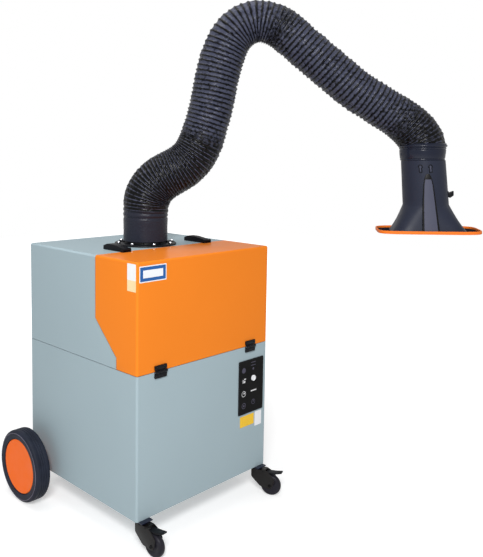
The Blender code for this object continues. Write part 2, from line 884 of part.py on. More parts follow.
def control_panel(machine, button):
    face_y = -DEPTH / 2 - SEAT - PANEL_THICK
    button_z = SEAM - PANEL_DROP - BUTTON_DROP
    plate = extruded(
        "control_panel",
        rounded_rectangle(PANEL_WIDTH, PANEL_HEIGHT, PANEL_CORNER),
        PANEL_THICK,
        "XZ",
        (PANEL_X, face_y + PANEL_THICK / 2, panel_middle()),
    )
    hole = rod(
        "cut_button",
        BUTTON_RADIUS + SEAT,
        PANEL_THICK + 2 * OVERRUN,
        (BUTTON_X, face_y, button_z),
        "Y",
        SIDES_MEDIUM,
    )
    place(cut(plate, hole), machine, "black_plastic")

    inner_face = -DEPTH / 2 + SHEET + SEAT
    box = block(
        "control_box",
        (PANEL_WIDTH + 2 * BOX_MARGIN, BOX_DEPTH, PANEL_HEIGHT + 2 * BOX_MARGIN),
        (PANEL_X, inner_face + BOX_DEPTH / 2, panel_middle()),
    )
    pocket = rod(
        "cut_pocket",
        BUTTON_STEM_RADIUS + SEAT,
        2 * (BUTTON_STEM + BUTTON_TRAVEL),
        (BUTTON_X, inner_face, button_z),
        "Y",
        SIDES_SMALL,
    )
    place(cut(box, pocket), machine, "housing_grey")

    cap_back = PANEL_THICK
    stem_end = BUTTON_STEM
    profile = [
        (0, stem_end),
        (BUTTON_STEM_RADIUS, stem_end),
        (BUTTON_STEM_RADIUS, cap_back),
        (BUTTON_RADIUS, cap_back),
        (BUTTON_RADIUS, -BUTTON_OUT + BUTTON_OUT / 4),
        (BUTTON_RADIUS - BUTTON_OUT / 4, -BUTTON_OUT),
        (0, -BUTTON_OUT),
    ]
    cap = turned("start_button", profile, SIDES_MEDIUM, "Y", closed=False)
    place(cap, button, "button_white")


# Filter chamber


def partition_plate(machine):
    inner = WIDTH - 2 * SHEET - 2 * SEAT
    depth = DEPTH - 2 * SHEET - 2 * SEAT
    plate_top = SEAM - SEAM_GAP / 2
    tray = folded_box(
        "partition_plate",
        (inner, depth, PARTITION_RIM),
        (-inner / 2, -depth / 2, plate_top - PARTITION_RIM),
        is_upright,
        [(0, 0, -1)],
        PARTITION_SHEET,
    )
    hole = rod(
        "cut_inlet",
        INLET_MOUTH,
        2 * OVERRUN,
        (0, FAN_Y, plate_top),
        "Z",
        SIDES_MEDIUM,
    )
    place(cut(tray, hole), machine, "zinc_steel")


def filter_set(machine):
    base = SEAM - SEAM_GAP / 2 + SEAT
    y = FILTER_BACK
    box = block(
        "filter_frame",
        (FILTER_WIDTH, FILTER_DEPTH, FILTER_HEIGHT),
        (0, y, base + FILTER_HEIGHT / 2),
    )
    core = block(
        "cut_filter",
        (
            FILTER_WIDTH - 2 * FILTER_WALL,
            FILTER_DEPTH - 2 * FILTER_WALL,
            FILTER_HEIGHT + 2 * OVERRUN,
        ),
        (0, y, base + FILTER_HEIGHT / 2),
    )
    place(cut(box, core), machine, "zinc_steel")

    width = FILTER_WIDTH - 2 * FILTER_WALL - 2 * SEAT
    low = base + PLEAT_INSET
    high = base + FILTER_HEIGHT - PLEAT_INSET - PLEAT_SHEET
    folds = 2 * PLEATS
    ridge = [
        (-width / 2 + width * i / folds, low if i % 2 else high) for i in range(folds + 1)
    ]
    outline = ridge + [(x, z + PLEAT_SHEET) for x, z in reversed(ridge)]
    pack = extruded(
        "filter_pleats",
        outline,
        FILTER_DEPTH - 2 * FILTER_WALL - 2 * SEAT,
        "XZ",
        (0, y, 0),
    )
    place(pack, machine, "filter_paper")

    mat = block(
        "prefilter_mat",
        (FILTER_WIDTH, FILTER_DEPTH, MAT_THICK),
        (0, y, base + FILTER_HEIGHT + SEAT + MAT_THICK / 2),
    )
    place(mat, machine, "filter_mat")


# Fan


def fan_inlet_top():
    return SEAM - SEAM_GAP / 2 - PARTITION_SHEET - SEAT


def impeller_base():
    """Height of the impeller's back plate: its neck takes the inlet ring's throat."""
    return fan_inlet_top() - INLET_DROP - IMPELLER_HEIGHT - IMPELLER_NECK + IMPELLER_OVERLAP


def fan_inlet_ring(machine):
    waist = (INLET_THROAT + INLET_MOUTH) / 2
    profile = [
        (INLET_FLANGE, 0),
        (INLET_FLANGE, -INLET_SHEET),
        (INLET_MOUTH, -INLET_SHEET),
        (waist, -INLET_DROP / 4),
        (INLET_THROAT, -INLET_DROP / 2),
        (INLET_THROAT, -INLET_DROP),
        (INLET_THROAT - INLET_SHEET, -INLET_DROP),
        (INLET_THROAT - INLET_SHEET, -INLET_DROP / 2),
        (waist - INLET_SHEET, -INLET_DROP / 4 + INLET_SHEET / 2),
        (INLET_MOUTH - INLET_SHEET, 0),
    ]
    ring = turned(
        "fan_inlet_ring", profile, SIDES_MEDIUM, "Z", (0, FAN_Y, fan_inlet_top())
    )
    place(ring, machine, "zinc_steel")


def blade_outline(turn):
    """A backward-curved blade in plan: a band along a spiral from the root to the tip."""
    steps = 3
    tip = IMPELLER_RADIUS - BLADE_THICK
    outer, inner = [], []
    for i in range(steps + 1):
        share = i / steps
        radius = BLADE_ROOT + (tip - BLADE_ROOT) * share
        angle = turn - BLADE_SWEEP * share
        half = BLADE_THICK / 2 / radius
        outer.append((radius * math.cos(angle + half), radius * math.sin(angle + half)))
        inner.append((radius * math.cos(angle - half), radius * math.sin(angle - half)))
    return inner + outer[::-1]


def impeller(fan):
    bore = SHAFT_RADIUS + SEAT
    hub_top = IMPELLER_HEIGHT / 2
    profile = [
        (IMPELLER_HUB, hub_top),
        (IMPELLER_HUB, IMPELLER_SHEET),
        (IMPELLER_RADIUS, IMPELLER_SHEET),
        (IMPELLER_RADIUS, 0),
        (bore, 0),
        (bore, hub_top),
    ]
    wheel = turned("impeller", profile, SIDES_MEDIUM)
    shroud_top = IMPELLER_HEIGHT
    shroud_base = IMPELLER_HEIGHT - IMPELLER_SHEET
    neck_top = IMPELLER_HEIGHT + IMPELLER_NECK
    shroud_profile = [
        (IMPELLER_EYE + IMPELLER_SHEET, neck_top),
        (IMPELLER_EYE + IMPELLER_SHEET, shroud_top),
        (IMPELLER_RADIUS, shroud_top),
        (IMPELLER_RADIUS, shroud_base),
        (IMPELLER_EYE, shroud_base),
        (IMPELLER_EYE, neck_top),
    ]
    shroud = turned("shroud", shroud_profile, SIDES_MEDIUM)
    overlap = IMPELLER_SHEET / 2
    height = shroud_base - IMPELLER_SHEET + 2 * overlap
    blades = [
        extruded(
            "blade",
            blade_outline(2 * math.pi * i / BLADES),
            height,
            "XY",
            (0, 0, IMPELLER_SHEET - overlap + height / 2),
        )
        for i in range(BLADES)
    ]
    place(join(wheel, *blades, shroud), fan, "cast_aluminium")


def motor_top():
    return impeller_base() - MOTOR_AIR


def fan_motor(machine):
    top = motor_top()
    base = top - MOTOR_HEIGHT
    neck = 3 * SHAFT_RADIUS
    profile = [
        (0, impeller_base() + IMPELLER_HEIGHT / 2),
        (SHAFT_RADIUS, impeller_base() + IMPELLER_HEIGHT / 2),
        (SHAFT_RADIUS, top),
        (neck, top),
        (neck, top - MOTOR_END / 2),
        (MOTOR_RADIUS, top - MOTOR_END),
        (MOTOR_RADIUS, top - 2 * MOTOR_END),
        (MOTOR_BODY_RADIUS, top - 2 * MOTOR_END),
        (MOTOR_BODY_RADIUS, base + 2 * MOTOR_END),
        (MOTOR_RADIUS, base + 2 * MOTOR_END),
        (MOTOR_RADIUS, base),
        (0, base),
    ]
    motor = turned(
        "fan_motor", profile, SIDES_SMALL, "Z", (0, FAN_Y, 0), closed=False
    )
    terminals = block(
        "terminals",
        (TERMINAL_BOX, TERMINAL_BOX, TERMINAL_BOX),
        (0, FAN_Y - MOTOR_BODY_RADIUS, (top + base) / 2),
    )
    place(join(motor, terminals), machine, "motor_blue")


def motor_stand(machine):
    """A bent steel bridge that stands on the housing's floor and carries the motor."""
    floor = CLEARANCE + SHEET + SEAT
    deck = motor_top() - MOTOR_HEIGHT - SEAT
    half = STAND_WIDTH / 2
    right = [
        (half + STAND_FOOT, floor),
        (half + STAND_FOOT, floor + STAND_SHEET),
        (half, floor + STAND_SHEET),
        (half, deck),
    ]
    under = [
        (half - STAND_SHEET, floor),
        (half - STAND_SHEET, deck - STAND_SHEET),
    ]
    outline = (
        right
        + [(-x, z) for x, z in reversed(right)]
        + [(-x, z) for x, z in under]
        + under[::-1]
    )
    stand = extruded("motor_stand", outline, STAND_DEPTH, "XZ", (0, FAN_Y, 0))
    place(stand, machine, "zinc_steel")


# Back of the lower housing


def exhaust_grille(machine):
    middle_y = DEPTH / 2 + SEAT + GRILLE_THICK / 2
    opening_width = GRILLE_WIDTH - 2 * GRILLE_BORDER
    opening_height = GRILLE_HEIGHT - 2 * GRILLE_BORDER
    plate = extruded(
        "exhaust_grille",
        rounded_rectangle(GRILLE_WIDTH, GRILLE_HEIGHT, GRILLE_BORDER / 2),
        GRILLE_THICK,
        "XZ",
        (0, middle_y, GRILLE_Z),
        [rounded_rectangle(opening_width, opening_height, GRILLE_THICK, 1)],
    )
    turn = Matrix.Rotation(SLAT_TILT, 4, "X")
    slats = [
        block(
            "slat",
            (opening_width + 2 * SLAT_OVERLAP, SLAT_DEPTH, SLAT_THICK),
            (0, middle_y, GRILLE_Z + opening_height * ((i + 0.5) / SLATS - 0.5)),
            turn,
        )
        for i in range(SLATS)
    ]
    place(join(plate, *slats), machine, "black_plastic")


def power_inlet(machine):
    wall = DEPTH / 2
    profile = [
        (PLUG_BORE, PLUG_OUT),
        (PLUG_BODY, PLUG_OUT),
        (PLUG_BODY, SEAT + PLUG_THICK),
        (PLUG_FLANGE, SEAT + PLUG_THICK),
        (PLUG_FLANGE, SEAT),
        (PLUG_BODY, SEAT),
        (PLUG_BODY, -PLUG_OUT / 2),
        (0, -PLUG_OUT / 2),
        (0, -PLUG_OUT / 2 + PLUG_FLOOR),
        (PLUG_BORE, -PLUG_OUT / 2 + PLUG_FLOOR),
    ]
    inlet = turned("power_inlet", profile, SIDES_SMALL, "Y", (INLET_X, wall, INLET_Z))
    place(inlet, machine, "black_plastic")


# Running gear


def rear_axle(machine):
    length = 2 * (WHEEL_OUTER_X - DISC_RECESS - DISC_THICK - SEAT)
    axle = rod(
        "rear_axle", AXLE_RADIUS, length, (0, WHEEL_Y, WHEEL_RADIUS), "X", SIDES_SMALL
    )
    place(axle, machine, "zinc_steel")
    floor = CLEARANCE + SHEET + SEAT
    for side, hand in (("left", -1), ("right", 1)):
        half = BRACKET_WIDTH / 2
        outline = arc((WHEEL_Y, WHEEL_RADIUS), half, 0, math.pi, 8) + [
            (WHEEL_Y - half, floor),
            (WHEEL_Y + half, floor),
        ]
        plate = extruded(
            "axle_bracket_" + side, outline, BRACKET_THICK, "YZ", (hand * BRACKET_X, 0, 0)
        )
        foot = block(
            "foot",
            (BRACKET_FOOT, BRACKET_WIDTH, BRACKET_THICK),
            (
                hand * (BRACKET_X - BRACKET_FOOT / 2 + BRACKET_THICK / 2),
                WHEEL_Y,
                floor + BRACKET_THICK / 2,
            ),
        )
        bore = rod(
            "cut_bracket",
            AXLE_RADIUS + SEAT,
            BRACKET_THICK + 2 * OVERRUN,
            (hand * BRACKET_X, WHEEL_Y, WHEEL_RADIUS),
            "X",
            SIDES_SMALL,
        )
        place(cut(join(plate, foot), bore), machine, "zinc_steel")

        near, far = WIDTH / 2 + SEAT, WHEEL_OUTER_X - WHEEL_WIDTH - SEAT
        profile = [
            (SPACER_RADIUS, far),
            (SPACER_RADIUS, near),
            (AXLE_RADIUS + SEAT, near),
            (AXLE_RADIUS + SEAT, far),
        ]
        spacer = turned(
            "wheel_spacer_" + side, profile, SIDES_SMALL, "X", (0, WHEEL_Y, WHEEL_RADIUS)
        )
        if hand < 0:
            turn = Matrix.Rotation(math.pi, 4, "Z")
            spacer.data.transform(turn @ Matrix.Translation((0, -2 * WHEEL_Y, 0)))
        place(spacer, machine, "black_plastic")


def rear_wheel(wheel, side, hand):
    """A rubber tyre on an orange disc that closes the hub on its outer side."""
    half = WHEEL_WIDTH / 2
    face = half - DISC_RECESS
    bore = AXLE_RADIUS + SEAT
    blind = face - DISC_THICK
    hub = [
        (0, face),
        (DISC_RADIUS, face),
        (DISC_RADIUS, -face),
        (DISC_RADIUS - HUB_RIM, -face),
        (DISC_RADIUS - HUB_RIM, blind),
        (HUB_BOSS, blind),
        (HUB_BOSS, -half),
        (bore, -half),
        (bore, blind),
        (0, blind),
    ]
    inner = DISC_RADIUS + SEAT
    groove = [
        (WHEEL_RADIUS, TREAD_GROOVE),
        (WHEEL_RADIUS - TREAD_GROOVE, 0),
        (WHEEL_RADIUS, -TREAD_GROOVE),
    ]
    tyre = [
        (inner, half),
        (WHEEL_RADIUS - TYRE_SHOULDER, half),
        (WHEEL_RADIUS, half - TYRE_SHOULDER),
        *[(radius, TREAD_STEP + height) for radius, height in groove],
        *[(radius, -TREAD_STEP + height) for radius, height in groove],
        (WHEEL_RADIUS, -half + TYRE_SHOULDER),
        (WHEEL_RADIUS - TYRE_SHOULDER, -half),
        (inner, -half),
    ]
    made = (
        (turned("rear_hub_" + side, hub, SIDES_LARGE, "X", closed=False), "disc_orange"),
        (turned("rear_tyre_" + side, tyre, SIDES_LARGE, "X"), "tyre_rubber"),
    )
    for obj, finish in made:
        if hand < 0:
            obj.data.transform(Matrix.Rotation(math.pi, 4, "Z"))
        place(obj, wheel, finish)


def castor(mount, swivel, wheel, pedal, side):
    """A braked swivel castor. The mount's frame stands on the floor below the kingpin."""
    plate_base = CLEARANCE - SEAT - CASTOR_PLATE_THICK
    plate = block(
        "castor_plate_" + side,
        (CASTOR_PLATE, CASTOR_PLATE, CASTOR_PLATE_THICK),
        (0, 0, plate_base + CASTOR_PLATE_THICK / 2),
    )
    kingpin = rod(
        "kingpin",
        KINGPIN_RADIUS,
        KINGPIN_LENGTH + CASTOR_PLATE_THICK,
        (0, 0, plate_base + CASTOR_PLATE_THICK - (KINGPIN_LENGTH + CASTOR_PLATE_THICK) / 2),
        "Z",
    )
    place(join(plate, kingpin), mount, "zinc_steel")

    head_top = plate_base - SEAT
    head_base = head_top - HEAD_HEIGHT
    head = [
        (0, head_top),
        (HEAD_RADIUS, head_top),
        (HEAD_RADIUS, head_base),
        (0, head_base),
    ]
    fork = turned("castor_fork_" + side, head, SIDES_SMALL, closed=False)
    cheek_y = CASTOR_WIDTH / 2 + CHEEK_AIR + CHEEK_THICK / 2
    crown = head_base + CHEEK_THICK
    outline = arc((CASTOR_TRAIL, CASTOR_RADIUS), CHEEK_END, -math.pi / 2, 0, 3) + [
        (CHEEK_FRONT_X, CHEEK_FRONT_Z),
        (PEDAL_PIVOT_X + CHEEK_END, PEDAL_PIVOT_Z),
        (YOKE_FRONT, crown),
        (-CHEEK_BACK, crown),
        (-CHEEK_BACK, CHEEK_BACK_Z),
        (CHEEK_KNEE_X, CHEEK_KNEE_Z),
    ]
    yoke = block(
        "yoke",
        (YOKE_FRONT + CHEEK_BACK, 2 * cheek_y, YOKE_THICK),
        ((YOKE_FRONT - CHEEK_BACK) / 2, 0, crown - YOKE_THICK / 2 - SEAT),
    )
    cheeks = [
        extruded("cheek", outline, CHEEK_THICK, "XZ", (0, hand * cheek_y, 0))
        for hand in (-1, 1)
    ]
    axle = rod(
        "castor_axle",
        CASTOR_AXLE_RADIUS,
        2 * cheek_y + 2 * CHEEK_THICK,
        (CASTOR_TRAIL, 0, CASTOR_RADIUS),
        "Y",
    )
    bore = rod(
        "pedal_bore",
        PEDAL_PIN_RADIUS + SEAT,
        2 * cheek_y + OVERRUN,
        (PEDAL_PIVOT_X, 0, PEDAL_PIVOT_Z),
        "Y",
    )
    kingpin_bore = rod(
        "kingpin_bore", KINGPIN_RADIUS + SEAT, 2 * HEAD_HEIGHT + OVERRUN, (0, 0, head_base), "Z"
    )
    place(cut(join(fork, yoke, *cheeks, axle), bore, kingpin_bore), swivel, "black_plastic")

    half = CASTOR_WIDTH / 2
    crown_drop = CASTOR_RADIUS * 0.94
    tread = [
        (CASTOR_AXLE_RADIUS + SEAT, half),
        (CASTOR_RADIUS / 2, half),
        (crown_drop, half),
        (CASTOR_RADIUS, half / 2),
        (CASTOR_RADIUS, -half / 2),
        (crown_drop, -half),
        (CASTOR_AXLE_RADIUS + SEAT, -half),
    ]
    place(turned("castor_wheel_" + side, tread, SIDES_MEDIUM, "Y"), wheel, "tyre_rubber")

    pedal_half = CASTOR_WIDTH / 2 + CHEEK_AIR - SEAT
    rings = []
    for x, half, low in (
        (-PEDAL_THICK, pedal_half, -PEDAL_THICK / 2),
        (PEDAL_REACH / 2, pedal_half, 0),
        (PEDAL_REACH, PEDAL_TIP, PEDAL_RISE),
    ):
        high = low + PEDAL_THICK
        rings.append([(x, -half, low), (x, half, low), (x, half, high), (x, -half, high)])
    tread_plate = loft("castor_pedal_" + side, rings, True)
    pin = rod(
        "pedal_pin", PEDAL_PIN_RADIUS, 2 * (pedal_half + SEAT + CHEEK_THICK), (0, 0, 0), "Y"
    )
    place(join(tread_plate, pin), pedal, "black_plastic")


# Arm base and links


def arm_flange(machine):
    profile = [
        (NECK_RADIUS, NECK_HEIGHT),
        (NECK_RADIUS, FLANGE_THICK),
        (FLANGE_RADIUS - FLANGE_THICK / 3, FLANGE_THICK),
        (FLANGE_RADIUS, FLANGE_THICK / 2),
        (FLANGE_RADIUS, 0),
        (NECK_BORE, 0),
        (NECK_BORE, NECK_HEIGHT),
    ]
    flange = turned("arm_flange", profile, SIDES_LARGE)
    parts = []
    for i in range(GUSSETS):
        angle = 2 * math.pi * i / GUSSETS
        rib = extruded(
            "gusset",
            [
                (NECK_RADIUS - GUSSET_THICK / 2, FLANGE_THICK / 2),
                (GUSSET_RADIUS, FLANGE_THICK / 2),
                (GUSSET_RADIUS, FLANGE_THICK + GUSSET_THICK / 2),
                (NECK_RADIUS - GUSSET_THICK / 2, NECK_HEIGHT - GUSSET_THICK / 2),
            ],
            GUSSET_THICK,
            "XZ",
        )
        rib.data.transform(Matrix.Rotation(angle + math.pi / GUSSETS, 4, "Z"))
        boss = rod(
            "boss",
            BOSS_RADIUS,
            FLANGE_THICK + BOSS_HEIGHT - SEAT,
            (
                BOSS_CIRCLE * math.cos(angle),
                BOSS_CIRCLE * math.sin(angle),
                (FLANGE_THICK + BOSS_HEIGHT + SEAT) / 2,
            ),
            "Z",
            SIDES_BOSS,
        )
        parts += [rib, boss]
    join(flange, *parts)
    place(flange, machine, "black_plastic")


def arm_turntable(swivel):
    """The ring that turns in the base flange, with the bridge and the two cheeks of the shoulder."""
    inner = COLLAR_RADIUS - TURNTABLE_WALL - FRICTION_FACE
    spigot = NECK_BORE - 3 * SEAT
    shelf = NECK_HEIGHT + SEAT
    profile = [
        (COLLAR_RADIUS, TURNTABLE_HEIGHT),
        (COLLAR_RADIUS, shelf),
        (spigot, shelf),
        (spigot, -TURNTABLE_SPIGOT),
        (inner, -TURNTABLE_SPIGOT),
        (inner, TURNTABLE_HEIGHT),
    ]
    ring = turned("arm_turntable", profile, SIDES_MEDIUM)
    bridge = block(
        "bridge",
        (2 * inner + TURNTABLE_WALL, BRIDGE_WIDTH, BRIDGE_THICK),
        (0, 0, BRIDGE_Z),
    )
    cheeks = [
        extruded(
            "cheek",
            stadium((0, BRIDGE_Z), (SHOULDER_X, SHOULDER_Z), EYE_RADIUS),
            FORK_THICK,
            "XZ",
            (0, hand * fork_middle(), 0),
        )
        for hand in (-1, 1)
    ]
    bore = rod(
        "cut_eye",
        BOLT_RADIUS + SEAT,
        BRIDGE_WIDTH + 2 * OVERRUN,
        (SHOULDER_X, 0, SHOULDER_Z),
        "Y",
    )
    place(cut(join(ring, bridge, *cheeks), bore), swivel, "cast_aluminium")


def fork_middle():
    """How far a fork's cheek lies from the arm's middle plane."""
    return TONGUE_THICK / 2 + FRICTION_FACE + SEAT + FORK_THICK / 2


def joint_bolt(name, parent, at):
    """A bolt through a fork: its heads lie outside the cheeks."""
    outer = fork_middle() + FORK_THICK / 2 + SEAT
    profile = [
        (0, outer + BOLT_HEAD),
        (BOLT_HEAD_RADIUS, outer + BOLT_HEAD),
        (BOLT_HEAD_RADIUS, outer),
        (BOLT_RADIUS, outer),
        (BOLT_RADIUS, -outer),
        (BOLT_HEAD_RADIUS, -outer),
        (BOLT_HEAD_RADIUS, -outer - BOLT_HEAD),
        (0, -outer - BOLT_HEAD),
    ]
    bolt = turned(name, profile, SIDES_PIN, "Y", at, closed=False)
    place(bolt, parent, "zinc_steel")


def eye_bore(x, z):
    return rod("cut_eye", BOLT_RADIUS + SEAT, BRIDGE_WIDTH + OVERRUN, (x, 0, z), "Y")


def tongue(name, start, end):
    """A flat link with thicker friction faces round its eye at the start."""
    plate = extruded(name, stadium(start, end, LINK_HALF), TONGUE_THICK, "XZ")
    face = rod(
        "friction_face",
        EYE_RADIUS,
        TONGUE_THICK + 2 * FRICTION_FACE,
        (start[0], 0, start[1]),
        "Y",
        SIDES_SMALL,
    )
    return join(plate, face)


def lower_arm(shoulder):
    """A steel tube with a flat tongue at each end."""
    end = (ELBOW_X - SHOULDER_X, ELBOW_Z - SHOULDER_Z)
    length = math.hypot(*end)
    unit = (end[0] / length, end[1] / length)
    near = (unit[0] * FORK_LENGTH, unit[1] * FORK_LENGTH)
    far = (end[0] - near[0], end[1] - near[1])
    tube = rod_between(
        "lower_arm", (near[0], 0, near[1]), (far[0], 0, far[1]), TUBE_RADIUS, SIDES_PIN
    )
    grip = 2 * TUBE_RADIUS
    near_end = (near[0] + unit[0] * grip, near[1] + unit[1] * grip)
    far_end = (far[0] - unit[0] * grip, far[1] - unit[1] * grip)
    join(tube, tongue("tongue_near", (0, 0), near_end), tongue("tongue_far", end, far_end))
    place(cut(tube, eye_bore(0, 0), eye_bore(*end)), shoulder, "zinc_steel")


def upper_arm(elbow):
    """A steel tube with a two-cheeked fork at each end."""
    end = (WRIST_X - ELBOW_X, WRIST_Z - ELBOW_Z)
    length = math.hypot(*end)
    unit = (end[0] / length, end[1] / length)
    near = (unit[0] * FORK_LENGTH, unit[1] * FORK_LENGTH)
    far = (end[0] - near[0], end[1] - near[1])
    radius = fork_middle() + FORK_THICK / 4
    tube = rod_between(
        "upper_arm", (near[0], 0, near[1]), (far[0], 0, far[1]), radius, SIDES_PIN
    )
    grip = 2 * TUBE_RADIUS
    cheeks = []
    for hand in (-1, 1):
        for eye, root in (((0, 0), near), (end, far)):
            outward = 1 if eye == (0, 0) else -1
            tail = (root[0] + outward * unit[0] * grip, root[1] + outward * unit[1] * grip)
            cheeks.append(
                extruded(
                    "cheek",
                    stadium(eye, tail, LINK_HALF),
                    FORK_THICK,
                    "XZ",
                    (0, hand * fork_middle(), 0),
                )
            )
    join(tube, *cheeks)
    place(cut(tube, eye_bore(0, 0), eye_bore(*end)), elbow, "zinc_steel")


def hood_carrier(wrist):
    """A tongue on the wrist that ends in a spider and the ring on which the hood turns."""
    ring_outer = HOOD_COLLAR_RADIUS - HOOD_WALL - 3 * SEAT
    ring_inner = ring_outer - CARRIER_WALL
    ring_top = -HOOD_DROP - CARRIER_DROP
    profile = [
        (ring_outer, ring_top),
        (ring_outer, ring_top - CARRIER_RING),
        (ring_inner, ring_top - CARRIER_RING),
        (ring_inner, ring_top),
    ]
    ring = turned("hood_carrier", profile, SIDES_MEDIUM, "Z", (HOOD_X, 0, 0))
    spider = block(
        "spider",
        (2 * ring_inner + CARRIER_WALL, SPIDER_WIDTH, CARRIER_RING - 2 * FRICTION_FACE),
        (HOOD_X, 0, ring_top - CARRIER_RING / 2),
    )
    link = tongue("tongue_hood", (0, 0), (HOOD_X, ring_top - CARRIER_RING / 2))
    place(cut(join(ring, spider, link), eye_bore(0, 0)), wrist, "zinc_steel")


# Hose


def hood_axis_point(depth):
    """A point (x, z) on the hood's axis in the arm's frame, at a depth below its collar's top."""
    point = Matrix.Rotation(HOOD_LEAN, 3, "Y") @ Vector((HOOD_X, 0, -HOOD_DROP - depth))
    return (WRIST_X + point.x, WRIST_Z + point.z)


def hose_route():
    """The hose's middle line in the arm's frame, from the base collar to the hood, as (x, z)."""
    return [
        (0, NECK_HEIGHT + 2 * SEAT),
        *HOSE_ROUTE,
        hood_axis_point(HOSE_END_STRAIGHT),
        hood_axis_point(HOOD_COLLAR / 2),
        hood_axis_point(HOOD_COLLAR),
    ]


def smooth_path(points, step):
    """Points at even steps along the Catmull-Rom curve through the route, with its length."""
    route = np.array(points)
    padded = np.vstack([2 * route[0] - route[1], route, 2 * route[-1] - route[-2]])
    fine = []
    for p0, p1, p2, p3 in zip(padded, padded[1:], padded[2:], padded[3:]):
        for t in np.linspace(0, 1, 24, endpoint=False):
            fine.append(
                0.5
                * (
                    2 * p1
                    + (p2 - p0) * t
                    + (2 * p0 - 5 * p1 + 4 * p2 - p3) * t**2
                    + (3 * p1 - p0 - 3 * p2 + p3) * t**3
                )
            )
    fine = np.vstack([fine, route[-1]])
    for _ in range(SMOOTHING):
        fine[1:-1] = (fine[:-2] + 2 * fine[1:-1] + fine[2:]) / 4
    lengths = np.concatenate([[0], np.cumsum(np.linalg.norm(np.diff(fine, axis=0), axis=1))])
    count = max(1, round(lengths[-1] / step))
    even = np.linspace(0, lengths[-1], count + 1)
    return np.column_stack([np.interp(even, lengths, fine[:, i]) for i in (0, 1)]), even


def tube_along(name, path, radii):
    """A closed tube on a POLY curve in the arm's plane, with a radius at each point."""
    curve = bpy.data.curves.new(name, "CURVE")
    curve.dimensions = "3D"
    curve.bevel_depth = 1
    curve.bevel_resolution = 2
    curve.use_fill_caps = True
    spline = curve.splines.new("POLY")
    spline.points.add(len(path) - 1)
    for point, (x, z), radius in zip(spline.points, path, radii):
        point.co = (x, 0, z, 1)
        point.radius = radius
    return smooth(realised(object_of(name, curve)))


def slimming(share):
    """The hose is slimmer along the upper arm, which stretches it."""
    return np.interp(share, HOSE_LENGTH_SHARES, HOSE_RADIUS_SHARES)


def along(path, even, lengths, origin):
    """Points at these lengths along the path; each end stretch lies square to its end."""
    points = np.column_stack([np.interp(lengths, even, path[:, i]) - origin[i] for i in (0, 1)])
    for end, inner in ((0, 1), (-1, -2)):
        beside = np.array([lengths[end] - 2 * PATH_STEP, lengths[end] + 2 * PATH_STEP])
        back, ahead = np.column_stack([np.interp(beside, even, path[:, i]) for i in (0, 1)])
        heading = (ahead - back) / np.linalg.norm(ahead - back)
        points[inner] = points[end] + heading * (lengths[inner] - lengths[end])
    return points


def rib_places(start, end):
    """Lengths of the crests and the valleys between, closer where the hose is pushed together."""
    fine = np.arange(start, end, PATH_STEP / 4)
    pitch = np.interp(fine, RIB_PLACES, RIB_PITCHES)
    turns = np.concatenate([[0], np.cumsum(np.diff(np.append(fine, end)) / pitch)])
    count = max(1, round(turns[-1]))
    return np.interp(np.linspace(0, turns[-1], 2 * count + 1), turns, np.append(fine, end)), count


def hose_run(name, parent, origin, start, end):
    """One length of the ribbed hose, with its bore, in the frame whose origin is given."""
    path, even = smooth_path(hose_route(), PATH_STEP)
    lengths, count = rib_places(start, end)
    slim = slimming(lengths / even[-1])
    ribbed = np.where(np.arange(len(lengths)) % 2, HOSE_RIB_RADIUS, HOSE_VALLEY_RADIUS)
    outer = tube_along(name, along(path, even, lengths, origin), ribbed * slim)
    bore_lengths = np.linspace(start, end, max(2, round(count / BORE_STEP_RIBS)) + 1)
    inside = along(path, even, bore_lengths, origin)
    inside[0] += (inside[0] - inside[1]) / BORE_STEP_RIBS
    inside[-1] += (inside[-1] - inside[-2]) / BORE_STEP_RIBS
    bore_radii = HOSE_BORE_RADIUS * slimming(bore_lengths / even[-1])
    bore = tube_along("bore_" + name, inside, bore_radii)
    place(cut(outer, bore), parent, "hose_fabric")


def hose(swivel, shoulder, elbow):
    """Five lengths: those over the joints deform, and the two between them ride on the links."""
    base = np.array([0, 0])
    at_shoulder = np.array([SHOULDER_X, SHOULDER_Z])
    at_elbow = np.array([ELBOW_X, ELBOW_Z])
    full = smooth_path(hose_route(), PATH_STEP)[1][-1]
    hose_run("hose_base_bend", swivel, base, 0, BASE_SEAM - SEAT)
    hose_run("hose_lower_run", shoulder, at_shoulder, BASE_SEAM, LOWER_SEAM)
    hose_run("hose_elbow_bend", shoulder, at_shoulder, LOWER_SEAM + SEAT, ELBOW_SEAM - SEAT)
    hose_run("hose_upper_run", elbow, at_elbow, ELBOW_SEAM, UPPER_SEAM)
    hose_run("hose_wrist_bend", elbow, at_elbow, UPPER_SEAM + SEAT, full - SEAT)


# Hood


def oval(half_x, half_y, squareness, z, drift=0.0):
    """A ring of points on a superellipse; squareness 2 is an ellipse."""
    ring = []
    for i in range(HOOD_SIDES):
        angle = 2 * math.pi * i / HOOD_SIDES
        c, s = math.cos(angle), math.sin(angle)
        x = math.copysign(abs(c) ** (2 / squareness), c) * half_x
        y = math.copysign(abs(s) ** (2 / squareness), s) * half_y
        ring.append((x + drift, y, z))
    return ring


def hood_drift(depth):
    """How far the hood's middle line has moved sideways at a depth below its collar's top."""
    levels = (HOOD_COLLAR, HOOD_FLARE_START, HOOD_LENGTH)
    return float(np.interp(depth, levels, (0, HOOD_DRIFT_NECK, HOOD_DRIFT_MOUTH)))


